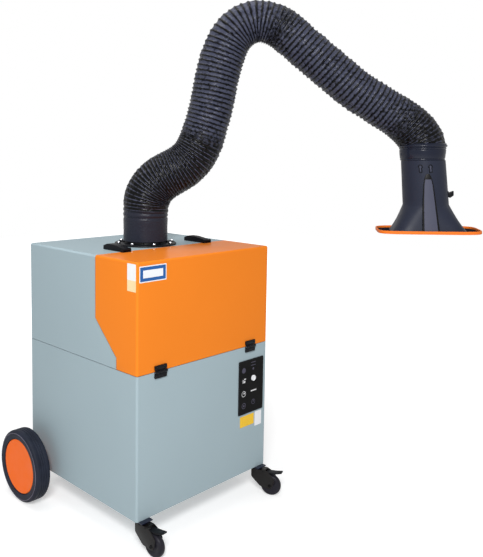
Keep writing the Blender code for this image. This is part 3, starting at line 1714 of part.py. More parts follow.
def hood_rings(inset):
    """The hood's sections below its collar, shrunk by an inset: a neck that flares to an oval."""
    rings = []
    start, end = HOOD_FLARE_START, HOOD_LENGTH
    for depth in (HOOD_COLLAR + SEAT, start):
        rings.append(oval(HOOD_NECK - inset, HOOD_NECK - inset, 2, -depth, hood_drift(depth)))
    steps = 6
    for i in range(1, steps + 1):
        share = i / steps
        depth = start + (end - start) * share
        curve = 0.75 * share + 0.25 * share**3
        half_x = HOOD_NECK + (FLARE_HALF_X - HOOD_NECK) * curve
        half_y = HOOD_NECK + (FLARE_HALF_Y - HOOD_NECK) * curve
        squareness = 2 + (PLATE_SQUARENESS - 2) * share
        ring = oval(half_x - inset, half_y - inset, squareness, -depth, hood_drift(depth))
        rings.append(ring)
    return rings


def hood(frame_here):
    """The moulded hood: collar, neck and flare in one wall, with the oval plate round its mouth."""
    drift = hood_drift(HOOD_LENGTH)
    collar = [
        oval(HOOD_COLLAR_RADIUS, HOOD_COLLAR_RADIUS, 2, 0),
        oval(HOOD_COLLAR_RADIUS, HOOD_COLLAR_RADIUS, 2, -HOOD_COLLAR + SEAT),
    ]
    plate = [oval(PLATE_HALF_X, PLATE_HALF_Y, PLATE_SQUARENESS, -HOOD_LENGTH, drift)]
    shell = loft("suction_hood", collar + hood_rings(0) + plate, False)
    wall = shell.modifiers.new("wall", "SOLIDIFY")
    wall.thickness = HOOD_WALL
    wall.offset = -1
    wall.use_even_offset = True
    spindle_hole = rod(
        "cut_spindle",
        SPINDLE_RADIUS + SEAT,
        4 * HOOD_NECK,
        (hood_drift(FLAP_DROP), 0, -FLAP_DROP),
        "X",
    )
    ribs = [tapered_rib(hand) for hand in (-1, 1)]
    for rib in ribs:
        cut(rib, loft("cut_cavity", hood_rings(HOOD_WALL / 2), True))
    join(shell, *ribs)
    place(cut(shell, spindle_hole), frame_here, "hood_plastic")

    rim_out, rim_in = RIM_WIDTH + SEAT, SEAT
    low = -HOOD_LENGTH - HOOD_WALL
    outer = oval(PLATE_HALF_X + rim_out, PLATE_HALF_Y + rim_out, PLATE_SQUARENESS, 0, drift)
    inner = oval(PLATE_HALF_X + rim_in, PLATE_HALF_Y + rim_in, PLATE_SQUARENESS, 0, drift)
    rim = extruded(
        "hood_rim",
        [(x, y) for x, y, _ in outer],
        RIM_HEIGHT,
        "XY",
        (0, 0, low + RIM_HEIGHT / 2),
        [[(x, y) for x, y, _ in inner]],
    )
    place(rim, frame_here, "rim_orange")


def tapered_rib(hand):
    """A flat ramp from the neck down to the plate's long side."""
    inner_y = HOOD_NECK / 2
    top_y = HOOD_NECK + FLAP_THICK
    foot_y = PLATE_HALF_Y - RIM_WIDTH
    low = -HOOD_LENGTH - HOOD_WALL / 2
    rings = []
    for half, outer_y, z, shift in (
        (RIB_APEX_HALF, top_y, -RIB_APEX, hood_drift(RIB_APEX)),
        (RIB_FOOT_HALF, foot_y, low, hood_drift(HOOD_LENGTH)),
    ):
        ring = [(-half, inner_y), (half, inner_y), (half, outer_y), (-half, outer_y)]
        rings.append([(x * hand + shift, y * hand, z) for x, y in ring])
    return loft("rib", rings, True)


def throttle_flap(flap):
    """A round flap on a spindle across the neck, with a knob outside."""
    disc = rod("throttle_flap", FLAP_RADIUS, FLAP_THICK, (0, 0, 0), "Y", SIDES_MEDIUM)
    knob_face = HOOD_NECK + KNOB_OUT
    reach = knob_face + SPINDLE_RADIUS
    spindle = rod(
        "spindle",
        SPINDLE_RADIUS,
        reach + FLAP_RADIUS,
        ((reach - FLAP_RADIUS) / 2, 0, 0),
        "X",
    )
    knob = block(
        "knob",
        (KNOB_THICK, KNOB_WIDTH, KNOB_LENGTH),
        (knob_face + KNOB_THICK / 2, 0, 0),
    )
    place(join(disc, spindle, bevel(knob, KNOB_OUT / 3)), flap, "black_plastic")


# Assembly


def centre_on_origin(machine):
    """Moves the machine so that the middle of its overall box stands on the world origin."""
    bpy.context.view_layer.update()
    graph = bpy.context.evaluated_depsgraph_get()
    corners = []
    for obj in PARTS.objects:
        if obj.type != "MESH":
            continue
        mesh = obj.evaluated_get(graph).to_mesh()
        points = np.empty(3 * len(mesh.vertices))
        mesh.vertices.foreach_get("co", points)
        world = np.array(obj.matrix_world)
        points = points.reshape(-1, 3) @ world[:3, :3].T + world[:3, 3]
        corners += [points.min(axis=0), points.max(axis=0)]
    low, high = np.min(corners, axis=0), np.max(corners, axis=0)
    machine.location = (-(low[0] + high[0]) / 2, -(low[1] + high[1]) / 2, 0)
    bpy.context.view_layer.update()


def build_housing(machine, cover):
    lower_housing(machine)
    upper_housing(machine)
    partition_plate(machine)
    filter_set(machine)
    cover_seal(machine)
    front_cover(cover)
    for side, hand in (("left", -1), ("right", 1)):
        hinge(machine, cover, side, hand * HINGE_X)
        x, y, z = latch_pivot(hand * LATCH_X)
        lever = frame("latch_pivot_" + side, cover, (x, y - HINGE_Y, z - SEAM))
        latch(cover, lever, side, x)


def build_inside(machine):
    fan = frame("fan_pivot", machine, (0, FAN_Y, impeller_base()))
    fan_inlet_ring(machine)
    impeller(fan)
    fan_motor(machine)
    motor_stand(machine)
    exhaust_grille(machine)
    power_inlet(machine)
    face_y = -DEPTH / 2 - SEAT - PANEL_THICK
    button = frame("button_slide", machine, (BUTTON_X, face_y, SEAM - PANEL_DROP - BUTTON_DROP))
    control_panel(machine, button)


def build_running_gear(machine):
    rear_axle(machine)
    turns = {"left": CASTOR_TURN_LEFT, "right": CASTOR_TURN_RIGHT}
    for side, hand in (("left", -1), ("right", 1)):
        at = (hand * (WHEEL_OUTER_X - WHEEL_WIDTH / 2), WHEEL_Y, WHEEL_RADIUS)
        rear_wheel(frame("rear_wheel_pivot_" + side, machine, at), side, hand)
        mount = frame("castor_mount_" + side, machine, (hand * CASTOR_X, CASTOR_Y, 0))
        swivel = frame("castor_swivel_" + side, mount, turn=(0, 0, turns[side]))
        wheel = frame("castor_axle_" + side, swivel, (CASTOR_TRAIL, 0, CASTOR_RADIUS))
        pedal = frame("castor_pedal_pivot_" + side, swivel, (PEDAL_PIVOT_X, 0, PEDAL_PIVOT_Z))
        castor(mount, swivel, wheel, pedal, side)


def build_arm(machine):
    seat = frame("arm_seat", machine, (0, ARM_Y, TOP + SEAT))
    swivel = frame("arm_swivel", seat, turn=(0, 0, ARM_TURN))
    shoulder = frame("shoulder", swivel, (SHOULDER_X, 0, SHOULDER_Z))
    elbow = frame("elbow", shoulder, (ELBOW_X - SHOULDER_X, 0, ELBOW_Z - SHOULDER_Z))
    wrist = frame("wrist", elbow, (WRIST_X - ELBOW_X, 0, WRIST_Z - ELBOW_Z), (0, HOOD_LEAN, 0))
    hood_axis = frame("hood_axis", wrist, (HOOD_X, 0, -HOOD_DROP), (0, 0, HOOD_TURN))
    flap = frame("flap_axis", hood_axis, (hood_drift(FLAP_DROP), 0, -FLAP_DROP))
    arm_flange(seat)
    arm_turntable(swivel)
    joint_bolt("shoulder_bolt", swivel, (SHOULDER_X, 0, SHOULDER_Z))
    lower_arm(shoulder)
    upper_arm(elbow)
    joint_bolt("elbow_bolt", elbow, (0, 0, 0))
    joint_bolt("wrist_bolt", elbow, (WRIST_X - ELBOW_X, 0, WRIST_Z - ELBOW_Z))
    hood_carrier(wrist)
    hose(swivel, shoulder, elbow)
    hood(hood_axis)
    throttle_flap(flap)


clear_scene()
PARTS = new_collection("fume_extractor")
TOOLS = new_collection("cutters")
MACHINE = frame("fume_extractor")
COVER = frame("cover_hinge", MACHINE, (0, HINGE_Y, SEAM))
build_housing(MACHINE, COVER)
build_inside(MACHINE)
build_running_gear(MACHINE)
build_arm(MACHINE)
centre_on_origin(MACHINE)
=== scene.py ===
# %% [markdown]
# # A mobile welding fume extractor
# A sheet steel cabinet on wheels holds a filter and a fan. A jointed arm inside a ribbed hose holds a
# suction hood over the work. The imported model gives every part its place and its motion. This lesson
# dresses it: it gives each surface its finish and builds the hose, the shells and the small parts finely.

import json
import math

import bmesh
import bpy
import numpy as np
from mathutils import Matrix, Vector, noise


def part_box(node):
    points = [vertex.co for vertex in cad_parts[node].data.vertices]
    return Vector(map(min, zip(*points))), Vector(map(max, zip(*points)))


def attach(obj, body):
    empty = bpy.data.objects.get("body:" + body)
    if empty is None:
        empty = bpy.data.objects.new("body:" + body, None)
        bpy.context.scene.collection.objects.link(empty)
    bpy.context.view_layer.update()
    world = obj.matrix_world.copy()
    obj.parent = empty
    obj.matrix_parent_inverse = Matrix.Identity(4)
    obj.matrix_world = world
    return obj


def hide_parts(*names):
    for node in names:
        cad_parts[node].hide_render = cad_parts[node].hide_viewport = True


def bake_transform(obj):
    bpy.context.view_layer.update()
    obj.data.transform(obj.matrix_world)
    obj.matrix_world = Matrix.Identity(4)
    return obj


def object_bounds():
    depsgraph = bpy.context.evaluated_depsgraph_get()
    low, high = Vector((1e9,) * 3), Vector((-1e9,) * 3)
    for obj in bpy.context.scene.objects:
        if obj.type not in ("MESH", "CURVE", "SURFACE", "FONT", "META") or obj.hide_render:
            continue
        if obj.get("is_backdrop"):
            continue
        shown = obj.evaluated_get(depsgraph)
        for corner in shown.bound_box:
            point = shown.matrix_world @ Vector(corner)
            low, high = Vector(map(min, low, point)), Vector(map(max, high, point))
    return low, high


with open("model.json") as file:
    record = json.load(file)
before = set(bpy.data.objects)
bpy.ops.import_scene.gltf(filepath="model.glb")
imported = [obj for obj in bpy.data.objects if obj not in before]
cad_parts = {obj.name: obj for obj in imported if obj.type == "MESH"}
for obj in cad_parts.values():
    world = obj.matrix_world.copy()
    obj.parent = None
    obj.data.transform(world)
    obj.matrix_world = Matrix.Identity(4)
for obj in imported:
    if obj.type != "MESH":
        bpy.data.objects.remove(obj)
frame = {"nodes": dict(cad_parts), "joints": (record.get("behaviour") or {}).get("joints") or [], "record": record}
nodes = frame["nodes"]
joints = {joint["name"]: joint for joint in frame["joints"]}
scene = bpy.context.scene
UP = (0, 0, 1)
cad_bounds = [list(corner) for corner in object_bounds()]
housing_low, housing_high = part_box("lower_housing")
middle = (housing_low + housing_high) / 2


def placed(name, data):
    """A new object in the scene, made round its data."""
    thing = bpy.data.objects.new(name, data)
    scene.collection.objects.link(thing)
    return thing


print("cabinet middle", [round(value, 4) for value in middle], "nodes", len(nodes))

# %% [markdown]
# The photograph was taken from the front left, a little over the top of the cabinet, with a short
# telephoto view. The camera stands where the cabinet's edges fall on the photograph's edges. A small
# shift puts the picture's frame round the object without turning the camera.

# %% Camera
CAMERA_FROM_MIDDLE = Vector((-1.5617, -1.8379, 0))
CAMERA_HEIGHT = 1.2156
YAW = 0.77905
PITCH = -0.08671
ROLL = 0.01124
SENSOR = 36
LENS = 44.0
SHIFT_X = 0.0745
SHIFT_Y = -0.1140


def camera_turn(yaw, pitch, roll):
    """The camera's rotation, from its heading from +Y, its pitch and its roll, in radians."""
    ahead = Vector((math.sin(yaw) * math.cos(pitch), math.cos(yaw) * math.cos(pitch), math.sin(pitch)))
    right = ahead.cross(UP).normalized()
    up = right.cross(ahead)
    rolled_right = right * math.cos(roll) + up * math.sin(roll)
    rolled_up = up * math.cos(roll) - right * math.sin(roll)
    return Matrix((rolled_right, rolled_up, -ahead)).transposed()


lens = bpy.data.cameras.new("camera")
lens.sensor_fit = "VERTICAL"
lens.sensor_height = SENSOR
lens.lens = LENS
lens.shift_x = SHIFT_X
lens.shift_y = SHIFT_Y
camera = placed("camera", lens)
camera.matrix_world = camera_turn(YAW, PITCH, ROLL).to_4x4()
camera.location = Vector((middle.x, middle.y, CAMERA_HEIGHT)) + CAMERA_FROM_MIDDLE
scene.camera = camera
print("camera at", [round(value, 3) for value in camera.location])

# %% [markdown]
# A cut-out product photograph has a white ground and soft light. A lamp high over the camera's left
# shoulder makes the highlights on the hose, and a wide, weak one over the cabinet lights its top. The
# world gives the soft part. The camera and rays through glass see it plain white, and it is much dimmer
# where it lights the object. Glossy rays see 45% of that white: metal shows the white studio, and black
# plastic and cloth still stay as dark as they do in the photograph. The floor glows for the same rays,
# more and more towards its far edge, so it fades into the white and keeps a soft shadow.

# %% World, lights and floor
scene.view_settings.view_transform = "Standard"
WORLD_STRENGTH = 0.30
GLOSS_SHARE = 0.45
FLOOR_SIZE = 14
FLOOR_COLOUR = (0.8, 0.8, 0.8, 1)
FLOOR_GLOW = (0.42, 1.0)
FLOOR_FADE = (0.6, 2.6)
AIM_HEIGHT = 0.9
# Each light has its offset from the cabinet's middle on the floor, its size and its power.
LIGHTS = (("key_light", (-2.35, -2.5, 2.8), 0.9, 132), ("top_light", (-0.3, 0.3, 3.8), 2.0, 32))


def set_inputs(tree, node, values):
    """Sets each input of a node to a value, or links it to another node's output."""
    for socket, value in values.items():
        if isinstance(value, bpy.types.NodeSocket):
            tree.links.new(value, node.inputs[socket])
        else:
            node.inputs[socket].default_value = value


def add_node(tree, kind, values, operation=None):
    """A new shader node with its inputs set. A math node takes its operation too."""
    node = tree.nodes.new("ShaderNode" + kind)
    if operation:
        node.operation = operation
    set_inputs(tree, node, values)
    return node


def looking_rays(tree):
    """An output that is 1 for the camera's rays and those through glass, and a share for glossy ones."""
    path = add_node(tree, "LightPath", {})
    total = path.outputs["Is Camera Ray"]
    for kind, share in (("Is Glossy Ray", GLOSS_SHARE), ("Is Transmission Ray", 1.0)):
        either = add_node(tree, "Math", {0: path.outputs[kind], 1: share, 2: total}, "MULTIPLY_ADD")
        either.use_clamp = True
        total = either.outputs["Value"]
    return total


def white_world(strength):
    """A white world: strength 1 where the camera sees it, and this strength as a light."""
    world = bpy.data.worlds.new("studio")
    world.use_nodes = True
    tree = world.node_tree
    level = add_node(tree, "MapRange", {"Value": looking_rays(tree), "To Min": strength})
    values = {"Color": (1, 1, 1, 1), "Strength": level.outputs["Result"]}
    set_inputs(tree, tree.nodes["Background"], values)
    return world


def area_light(name, offset, size, power):
    """A square area light at an offset from the cabinet's middle, turned to the cabinet's top."""
    place = Vector((middle.x + offset[0], middle.y + offset[1], offset[2]))
    aim = Vector((middle.x, middle.y, AIM_HEIGHT)) - place
    light = bpy.data.lights.new(name, "AREA")
    light.shape = "SQUARE"
    light.size = size
    light.energy = power
    lamp = placed(name, light)
    lamp.location = place
    lamp.rotation_euler = aim.to_track_quat("-Z", "Y").to_euler()


def white_floor(size, colour):
    """A paper floor that takes shadows, and glows for the camera more the farther it lies out."""
    bpy.ops.mesh.primitive_plane_add(size=size, location=(middle.x, middle.y, 0))
    surface = bpy.context.object
    surface.name = "floor"
    paper = bpy.data.materials.new("paper")
    paper.use_nodes = True
    tree = paper.node_tree
    where = add_node(tree, "TexCoord", {})
    distance = add_node(tree, "VectorMath", {0: where.outputs["Object"]}, "LENGTH")
    fade = add_node(tree, "MapRange", {"Value": distance.outputs["Value"]})
    fade.interpolation_type = "SMOOTHSTEP"
    for socket, value in zip(("From Min", "From Max", "To Min", "To Max"), FLOOR_FADE + FLOOR_GLOW):
        fade.inputs[socket].default_value = value
    seen = add_node(tree, "Math", {0: fade.outputs["Result"], 1: looking_rays(tree)}, "MULTIPLY")
    values = {"Base Color": colour, "Roughness": 0.9, "Specular IOR Level": 0.0}
    values.update({"Emission Color": (1, 1, 1, 1), "Emission Strength": seen.outputs["Value"]})
    set_inputs(tree, tree.nodes["Principled BSDF"], values)
    surface.data.materials.append(paper)
    surface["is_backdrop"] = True


scene.world = white_world(WORLD_STRENGTH)
for light in LIGHTS:
    area_light(*light)
white_floor(FLOOR_SIZE, FLOOR_COLOUR)

# %% [markdown]
# Every finish starts from one shader with its colour, gloss and metal set on it. Small helpers then
# add what makes a surface real: a fine bump such as paint texture or grain, and a slow change of
# colour. Object coordinates are metres on the part, so a scale says how many grains fit in a metre.

# %% Helpers for finishes
def linear(channel):
    """A screen level from 0 to 255 as the linear value that Blender works in."""
    level = channel / 255
    return level / 12.92 if level <= 0.04045 else ((level + 0.055) / 1.055) ** 2.4


def srgb(red, green, blue):
    """A colour given as a screen shows it."""
    return (linear(red), linear(green), linear(blue), 1)


def base_finish(name, colour, roughness, metallic=0.0, specular=0.5):
    """A material with one Principled shader. Returns the material and the shader node."""
    finish = bpy.data.materials.new(name)
    finish.use_nodes = True
    shader = finish.node_tree.nodes["Principled BSDF"]
    values = {"Base Color": colour, "Roughness": roughness}
    values.update({"Metallic": metallic, "Specular IOR Level": specular})
    set_inputs(finish.node_tree, shader, values)
    return finish, shader


def metres(finish, stretch=(1, 1, 1)):
    """The output of a Mapping node on the part's own coordinates."""
    tree = finish.node_tree
    coordinates = add_node(tree, "TexCoord", {})
    values = {"Scale": stretch, "Vector": coordinates.outputs["Object"]}
    return add_node(tree, "Mapping", values).outputs["Vector"]


def noise_of(finish, vector, scale, detail=2.0):
    """The value of a noise texture with this many grains a metre."""
    values = {"Scale": scale, "Detail": detail, "Vector": vector}
    return add_node(finish.node_tree, "TexNoise", values).outputs["Fac"]


def bump(finish, shader, height, depth, strength=1.0):
    """Bends the shader's normal by a height, whose full range stands this deep in metres."""
    tree = finish.node_tree
    values = {"Strength": strength, "Distance": depth, "Height": height}
    if shader.inputs["Normal"].links:
        values["Normal"] = shader.inputs["Normal"].links[0].from_socket
    node = add_node(tree, "Bump", values)
    tree.links.new(node.outputs["Normal"], shader.inputs["Normal"])


def vary(finish, shader, socket, value, low, high):
    """Feeds a socket with a ramp between two colours or grey levels, over the middle of a value's range."""
    tree = finish.node_tree
    ramp = add_node(tree, "ValToRGB", {"Fac": value})
    for element, level, place in zip(ramp.color_ramp.elements, (low, high), (0.3, 0.7)):
        element.color = level if isinstance(level, tuple) else (level, level, level, 1)
        element.position = place
    tree.links.new(ramp.outputs["Color"], shader.inputs[socket])


def shades(colour, *factors):
    """The colour made lighter or darker by each factor."""
    return [tuple(min(1.0, channel * factor) for channel in colour[:3]) + (1,) for factor in factors]


print("white is", [round(value, 3) for value in srgb(255, 255, 255)])

# %% [markdown]
# The cabinet is powder coated: a smooth satin paint, baked on, with a very fine orange peel that you
# only see where a light glances off it. One function makes it, so that both colours match in texture.

# %% Powder coat
PEEL_GRAINS = 420
PEEL_DEPTH = 0.00012


def powder_coat(name, colour, roughness):
    """A satin baked paint with fine orange peel and faint uneven colour."""
    finish, shader = base_finish(name, colour, roughness, specular=0.05)
    where = metres(finish)
    vary(finish, shader, "Base Color", noise_of(finish, where, 3.0), *shades(colour, 0.985, 1.015))
    vary(finish, shader, "Roughness", noise_of(finish, where, 14.0), roughness - 0.02, roughness + 0.02)
    bump(finish, shader, noise_of(finish, where, PEEL_GRAINS, 1.0), PEEL_DEPTH, 0.35)
    return finish


housing_paint = powder_coat("housing_paint", srgb(163, 181, 188), 0.42)
cover_paint = powder_coat("cover_paint", srgb(242, 134, 40), 0.30)
motor_paint = powder_coat("motor_paint", srgb(60, 92, 120), 0.45)
print("paints", housing_paint.name, cover_paint.name, motor_paint.name)

# %% [markdown]
# The small fittings are moulded. Moulded plastic is a little rougher than paint and has a fine grain.
# Black plastic is never quite black: it is a very dark blue grey, and its gloss makes it look lighter
# where a lamp glances off it. So the colour here is darker than the part looks.

# %% Plastics
GRAIN = 900
GRAIN_DEPTH = 0.00008


def moulded(name, colour, roughness, depth=GRAIN_DEPTH, specular=0.16):
    """A moulded plastic with a fine even grain."""
    finish, shader = base_finish(name, colour, roughness, specular=specular)
    where = metres(finish)
    vary(finish, shader, "Roughness", noise_of(finish, where, 30.0), roughness - 0.05, roughness + 0.06)
    bump(finish, shader, noise_of(finish, where, GRAIN, 1.0), depth, 0.5)
    return finish


black_plastic = moulded("black_plastic", srgb(13, 14, 19), 0.42)
black_gloss = moulded("black_gloss", srgb(11, 11, 13), 0.28)
hood_plastic = moulded("hood_plastic", srgb(40, 44, 58), 0.40)
disc_plastic = moulded("disc_plastic", srgb(255, 112, 24), 0.45)
rim_plastic = moulded("rim_plastic", srgb(240, 122, 40), 0.45)
white_gloss = moulded("white_gloss", srgb(240, 241, 244), 0.22, 0.0)
panel_film = moulded("panel_film", srgb(14, 14, 14), 0.55, specular=0.08)
mark_white = moulded("mark_white", srgb(214, 214, 216), 0.5, 0.0)
mark_grey = moulded("mark_grey", srgb(74, 72, 88), 0.5, 0.0)
print("plastics", black_plastic.name, hood_plastic.name)

# %% [markdown]
# Rubber is duller than plastic. Handling leaves a pale dusty bloom on it, in soft patches, which the
# noise puts on as a second, lighter colour.

# %% Rubber
def rubber(name, colour, roughness):
    """Solid rubber with a faint dusty bloom."""
    finish, shader = base_finish(name, colour, roughness, specular=0.15)
    where = metres(finish)
    vary(finish, shader, "Base Color", noise_of(finish, where, 22.0, 4.0), *shades(colour, 0.8, 1.35))
    bump(finish, shader, noise_of(finish, where, 650.0, 3.0), 0.00015, 0.6)
    return finish


tyre_rubber = rubber("tyre_rubber", srgb(34, 38, 50), 0.55)
seal_rubber = rubber("seal_rubber", srgb(18, 19, 22), 0.7)
castor_grey = rubber("castor_grey", srgb(34, 33, 40), 0.4)
print("rubbers", tyre_rubber.name, castor_grey.name)

# %% [markdown]
# Bare metal parts are zinc plated steel and cast aluminium. Zinc shows a soft cloudy sheen with fine
# drawing lines, and a casting has a sandy skin.

# %% Metals
def brushed(name, colour, roughness, stretch):
    """Plated sheet or bar with fine lines along one direction."""
    finish, shader = base_finish(name, colour, roughness, metallic=1.0)
    lines = noise_of(finish, metres(finish, stretch), 260.0, 3.0)
    clouds = noise_of(finish, metres(finish), 18.0, 3.0)
    vary(finish, shader, "Roughness", clouds, roughness - 0.08, roughness + 0.1)
    bump(finish, shader, lines, 0.00006, 0.5)
    return finish


def cast(name, colour, roughness):
    """A sand-skinned casting."""
    finish, shader = base_finish(name, colour, roughness, metallic=1.0)
    bump(finish, shader, noise_of(finish, metres(finish), 380.0, 3.0), 0.0003, 0.6)
    return finish


zinc_steel = brushed("zinc_steel", srgb(206, 209, 214), 0.34, (1, 1, 8))
screw_zinc = brushed("screw_zinc", srgb(236, 238, 244), 0.28, (1, 1, 1))
cast_aluminium = cast("cast_aluminium", srgb(188, 190, 193), 0.5)
print("metals", zinc_steel.name, cast_aluminium.name)

# %% [markdown]
# The filter is pleated paper fleece behind a loose fibre mat. Both are pale and quite matt, with a
# soft fibre bump and the light dust of use.

# %% Filter materials
def fibre(name, colour, grains, depth):
    """A matt fibrous sheet with faint dust."""
    finish, shader = base_finish(name, colour, 0.95, specular=0.1)
    where = metres(finish)
    vary(finish, shader, "Base Color", noise_of(finish, where, 9.0, 4.0), *shades(colour, 0.82, 1))
    bump(finish, shader, noise_of(finish, where, grains, 4.0), depth, 0.8)
    return finish


filter_paper = fibre("filter_paper", srgb(226, 222, 206), 500.0, 0.0004)
filter_mat = fibre("filter_mat", srgb(198, 202, 196), 160.0, 0.002)
print("filter finishes", filter_paper.name, filter_mat.name)

# %% [markdown]
# Stickers are printed film: a clean gloss with a hardly visible ripple from the glue under it. Here
# they carry no print, only their plain colours.

# %% Sticker films
def printed_film(name, colour):
    """A glossy film sticker with a faint ripple."""
    finish, shader = base_finish(name, colour, 0.25, specular=0.5)
    where = metres(finish)
    vary(finish, shader, "Base Color", noise_of(finish, where, 30.0), *shades(colour, 0.96, 1))
    bump(finish, shader, noise_of(finish, where, 90.0, 1.0), 0.0002, 0.25)
    return finish


film_white = printed_film("film_white", srgb(240, 242, 246))
film_cream = printed_film("film_cream", srgb(248, 222, 170))
film_blue = printed_film("film_blue", srgb(16, 88, 160))
film_yellow = printed_film("film_yellow", srgb(246, 196, 8))
print("films", film_white.name, film_blue.name, film_yellow.name)

# %% [markdown]
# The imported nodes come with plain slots. The record says which slot each node has, so one loop gives
# every node its finish. Nodes that a finer piece replaces later keep it too, but they don't show.

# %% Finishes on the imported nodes
FINISH_OF_SLOT = {
    "housing_grey": housing_paint,
    "cover_orange": cover_paint,
    "motor_blue": motor_paint,
    "black_plastic": black_plastic,
    "zinc_steel": zinc_steel,
    "cast_aluminium": cast_aluminium,
    "filter_paper": filter_paper,
    "filter_mat": filter_mat,
    "hood_plastic": hood_plastic,
    "rim_orange": rim_plastic,
    "disc_orange": disc_plastic,
    "tyre_rubber": tyre_rubber,
    "hose_fabric": seal_rubber,
    "button_white": white_gloss,
}
for part in frame["record"]["subparts"]:
    surface = nodes[part["node"]].data
    surface.materials.clear()
    surface.materials.append(FINISH_OF_SLOT[part["material_slot"]])
nodes["cover_seal"].data.materials[0] = seal_rubber

# %% [markdown]
# Fine pieces are made in the frames of the parts that they belong to, and then set in place. A frame is
# a matrix whose columns are its axes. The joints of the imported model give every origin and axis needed,
# so no place has to be measured twice.

# %% Frames of the parts
def frame_of(origin, x_axis, z_axis):
    """The matrix of a frame from its origin and two of its axes."""
    x = Vector(x_axis).normalized()
    z = Vector(z_axis).normalized()
    turn = Matrix((x, z.cross(x), z)).transposed().to_4x4()
    return Matrix.Translation(Vector(origin)) @ turn


def castor_frame(side):
    """The frame of a castor: on the floor under its kingpin, with X towards its wheel."""
    x, y, _ = joints[f"castor_swivel_{side}_turn"]["pos_m"]
    across = Vector(joints[f"castor_wheel_{side}_spin"]["axis"])
    return frame_of((x, y, 0), across.cross(UP), UP)


CABINET = Matrix.Translation((middle.x, middle.y, 0))
across_arm = Vector(joints["arm_shoulder"]["axis"])
ARM = frame_of(joints["arm_swivel"]["pos_m"], across_arm.cross(UP), UP)
hood_up = joints["hood_turn"]["axis"]
HOOD = frame_of(joints["hood_turn"]["pos_m"], joints["throttle_turn"]["axis"], hood_up)
FLAP = frame_of(joints["throttle_turn"]["pos_m"], joints["throttle_turn"]["axis"], hood_up)
CASTORS = {side: castor_frame(side) for side in ("left", "right")}
print("arm heads", [round(value, 3) for value in ARM.col[0][:3]])

# %% [markdown]
# Most small parts are either turned, such as wheels and bolts, or cut from a plate, such as levers and
# leaves. A primitive would have hard knife edges, and real edges catch the light. So both helpers take
# an outline with rounded corners, and plates get their rims bevelled as well. Unless a plate is given
# another place, it stands upright in the cabinet's frame.

# %% Helpers for shapes
PLANES = {
    "XY": Matrix(),
    "XZ": Matrix(((1, 0, 0, 0), (0, 0, -1, 0), (0, 1, 0, 0), (0, 0, 0, 1))),
    "YZ": Matrix(((0, 0, 1, 0), (1, 0, 0, 0), (0, 1, 0, 0), (0, 0, 0, 1))),
}
SHARP_ANGLE = math.radians(35)
MERGE_DISTANCE = 0.000002


def rounded(outline, radius, steps=3, closed=True):
    """The outline with its corners rounded by short curves of about this radius."""
    points = [Vector(point) for point in outline]
    made = []
    for i, corner in enumerate(points):
        if not closed and i in (0, len(points) - 1):
            made.append(corner)
            continue
        before, after = points[i - 1] - corner, points[(i + 1) % len(points)] - corner
        reach = min(radius, 0.45 * before.length, 0.45 * after.length)
        start, end = corner + before.normalized() * reach, corner + after.normalized() * reach
        for t in (step / steps for step in range(steps + 1)):
            made.append(start * (1 - t) ** 2 + corner * 2 * t * (1 - t) + end * t**2)
    return [tuple(point) for point in made]


def rectangle(width, height, corner=0.0, x=0.0, y=0.0):
    """The outline of a rectangle about a middle, with rounded corners."""
    signs = ((1, 1), (-1, 1), (-1, -1), (1, -1))
    corners = [(x + right * width / 2, y + up * height / 2) for right, up in signs]
    return rounded(corners, corner) if corner else corners


def turn_steps(steps):
    """Even angles round a full turn, in radians."""
    return [2 * math.pi * i / steps for i in range(steps)]


def circle(radius, sides=24, x=0.0, y=0.0):
    """The outline of a circle."""
    return [(x + radius * math.cos(turn), y + radius * math.sin(turn)) for turn in turn_steps(sides)]


def arc(x, y, radius, start, end, steps):
    """Points on an arc, with its angles in degrees."""
    turns = [math.radians(start + (end - start) * i / steps) for i in range(steps + 1)]
    return [(x + radius * math.cos(turn), y + radius * math.sin(turn)) for turn in turns]


def rod(radius, low, high):
    """The profile of a plain rod between two heights."""
    return [(0, low), (radius, low), (radius, high), (0, high)]


def mirrored(profile):
    """A profile's points in reverse order on the other side of height 0."""
    return [(radius, -height) for radius, height in reversed(profile)]


def as_object(name, bm):
    """The bmesh as a new object in the scene."""
    mesh = bpy.data.meshes.new(name)
    bm.to_mesh(mesh)
    bm.free()
    return placed(name, mesh)


def piece_from(name, bm, place=Matrix()):
    """An object from a bmesh, set in its place, smooth but for its sharp edges."""
    bmesh.ops.remove_doubles(bm, verts=bm.verts, dist=MERGE_DISTANCE)
    bmesh.ops.recalc_face_normals(bm, faces=bm.faces)
    piece = as_object(name, bm)
    piece.data.transform(place)
    piece.data.shade_smooth()
    piece.data.set_sharp_from_angle(angle=SHARP_ANGLE)
    return piece


def skin_through(name, rings, place, capped=False, closed=False):
    """A skin through rings of points. It can be capped at its ends, or closed into a loop."""
    bm = bmesh.new()
    made = [[bm.verts.new(point) for point in ring] for ring in rings]
    for upper, lower in zip(made, made[1:] + (made[:1] if closed else [])):
        for i in range(len(upper)):
            bm.faces.new((upper[i - 1], upper[i], lower[i], lower[i - 1]))
    if capped:
        bm.faces.new(made[0])
        bm.faces.new(made[-1])
    return piece_from(name, bm, place)


def turned(name, profile, place, sides=64, closed=False):
    """A turned piece: a profile of (radius, height) swung round Z."""
    turns = turn_steps(sides)
    rings = [[(r * math.cos(t), r * math.sin(t), z) for t in turns] for r, z in profile]
    return skin_through(name, rings, place, closed=closed)


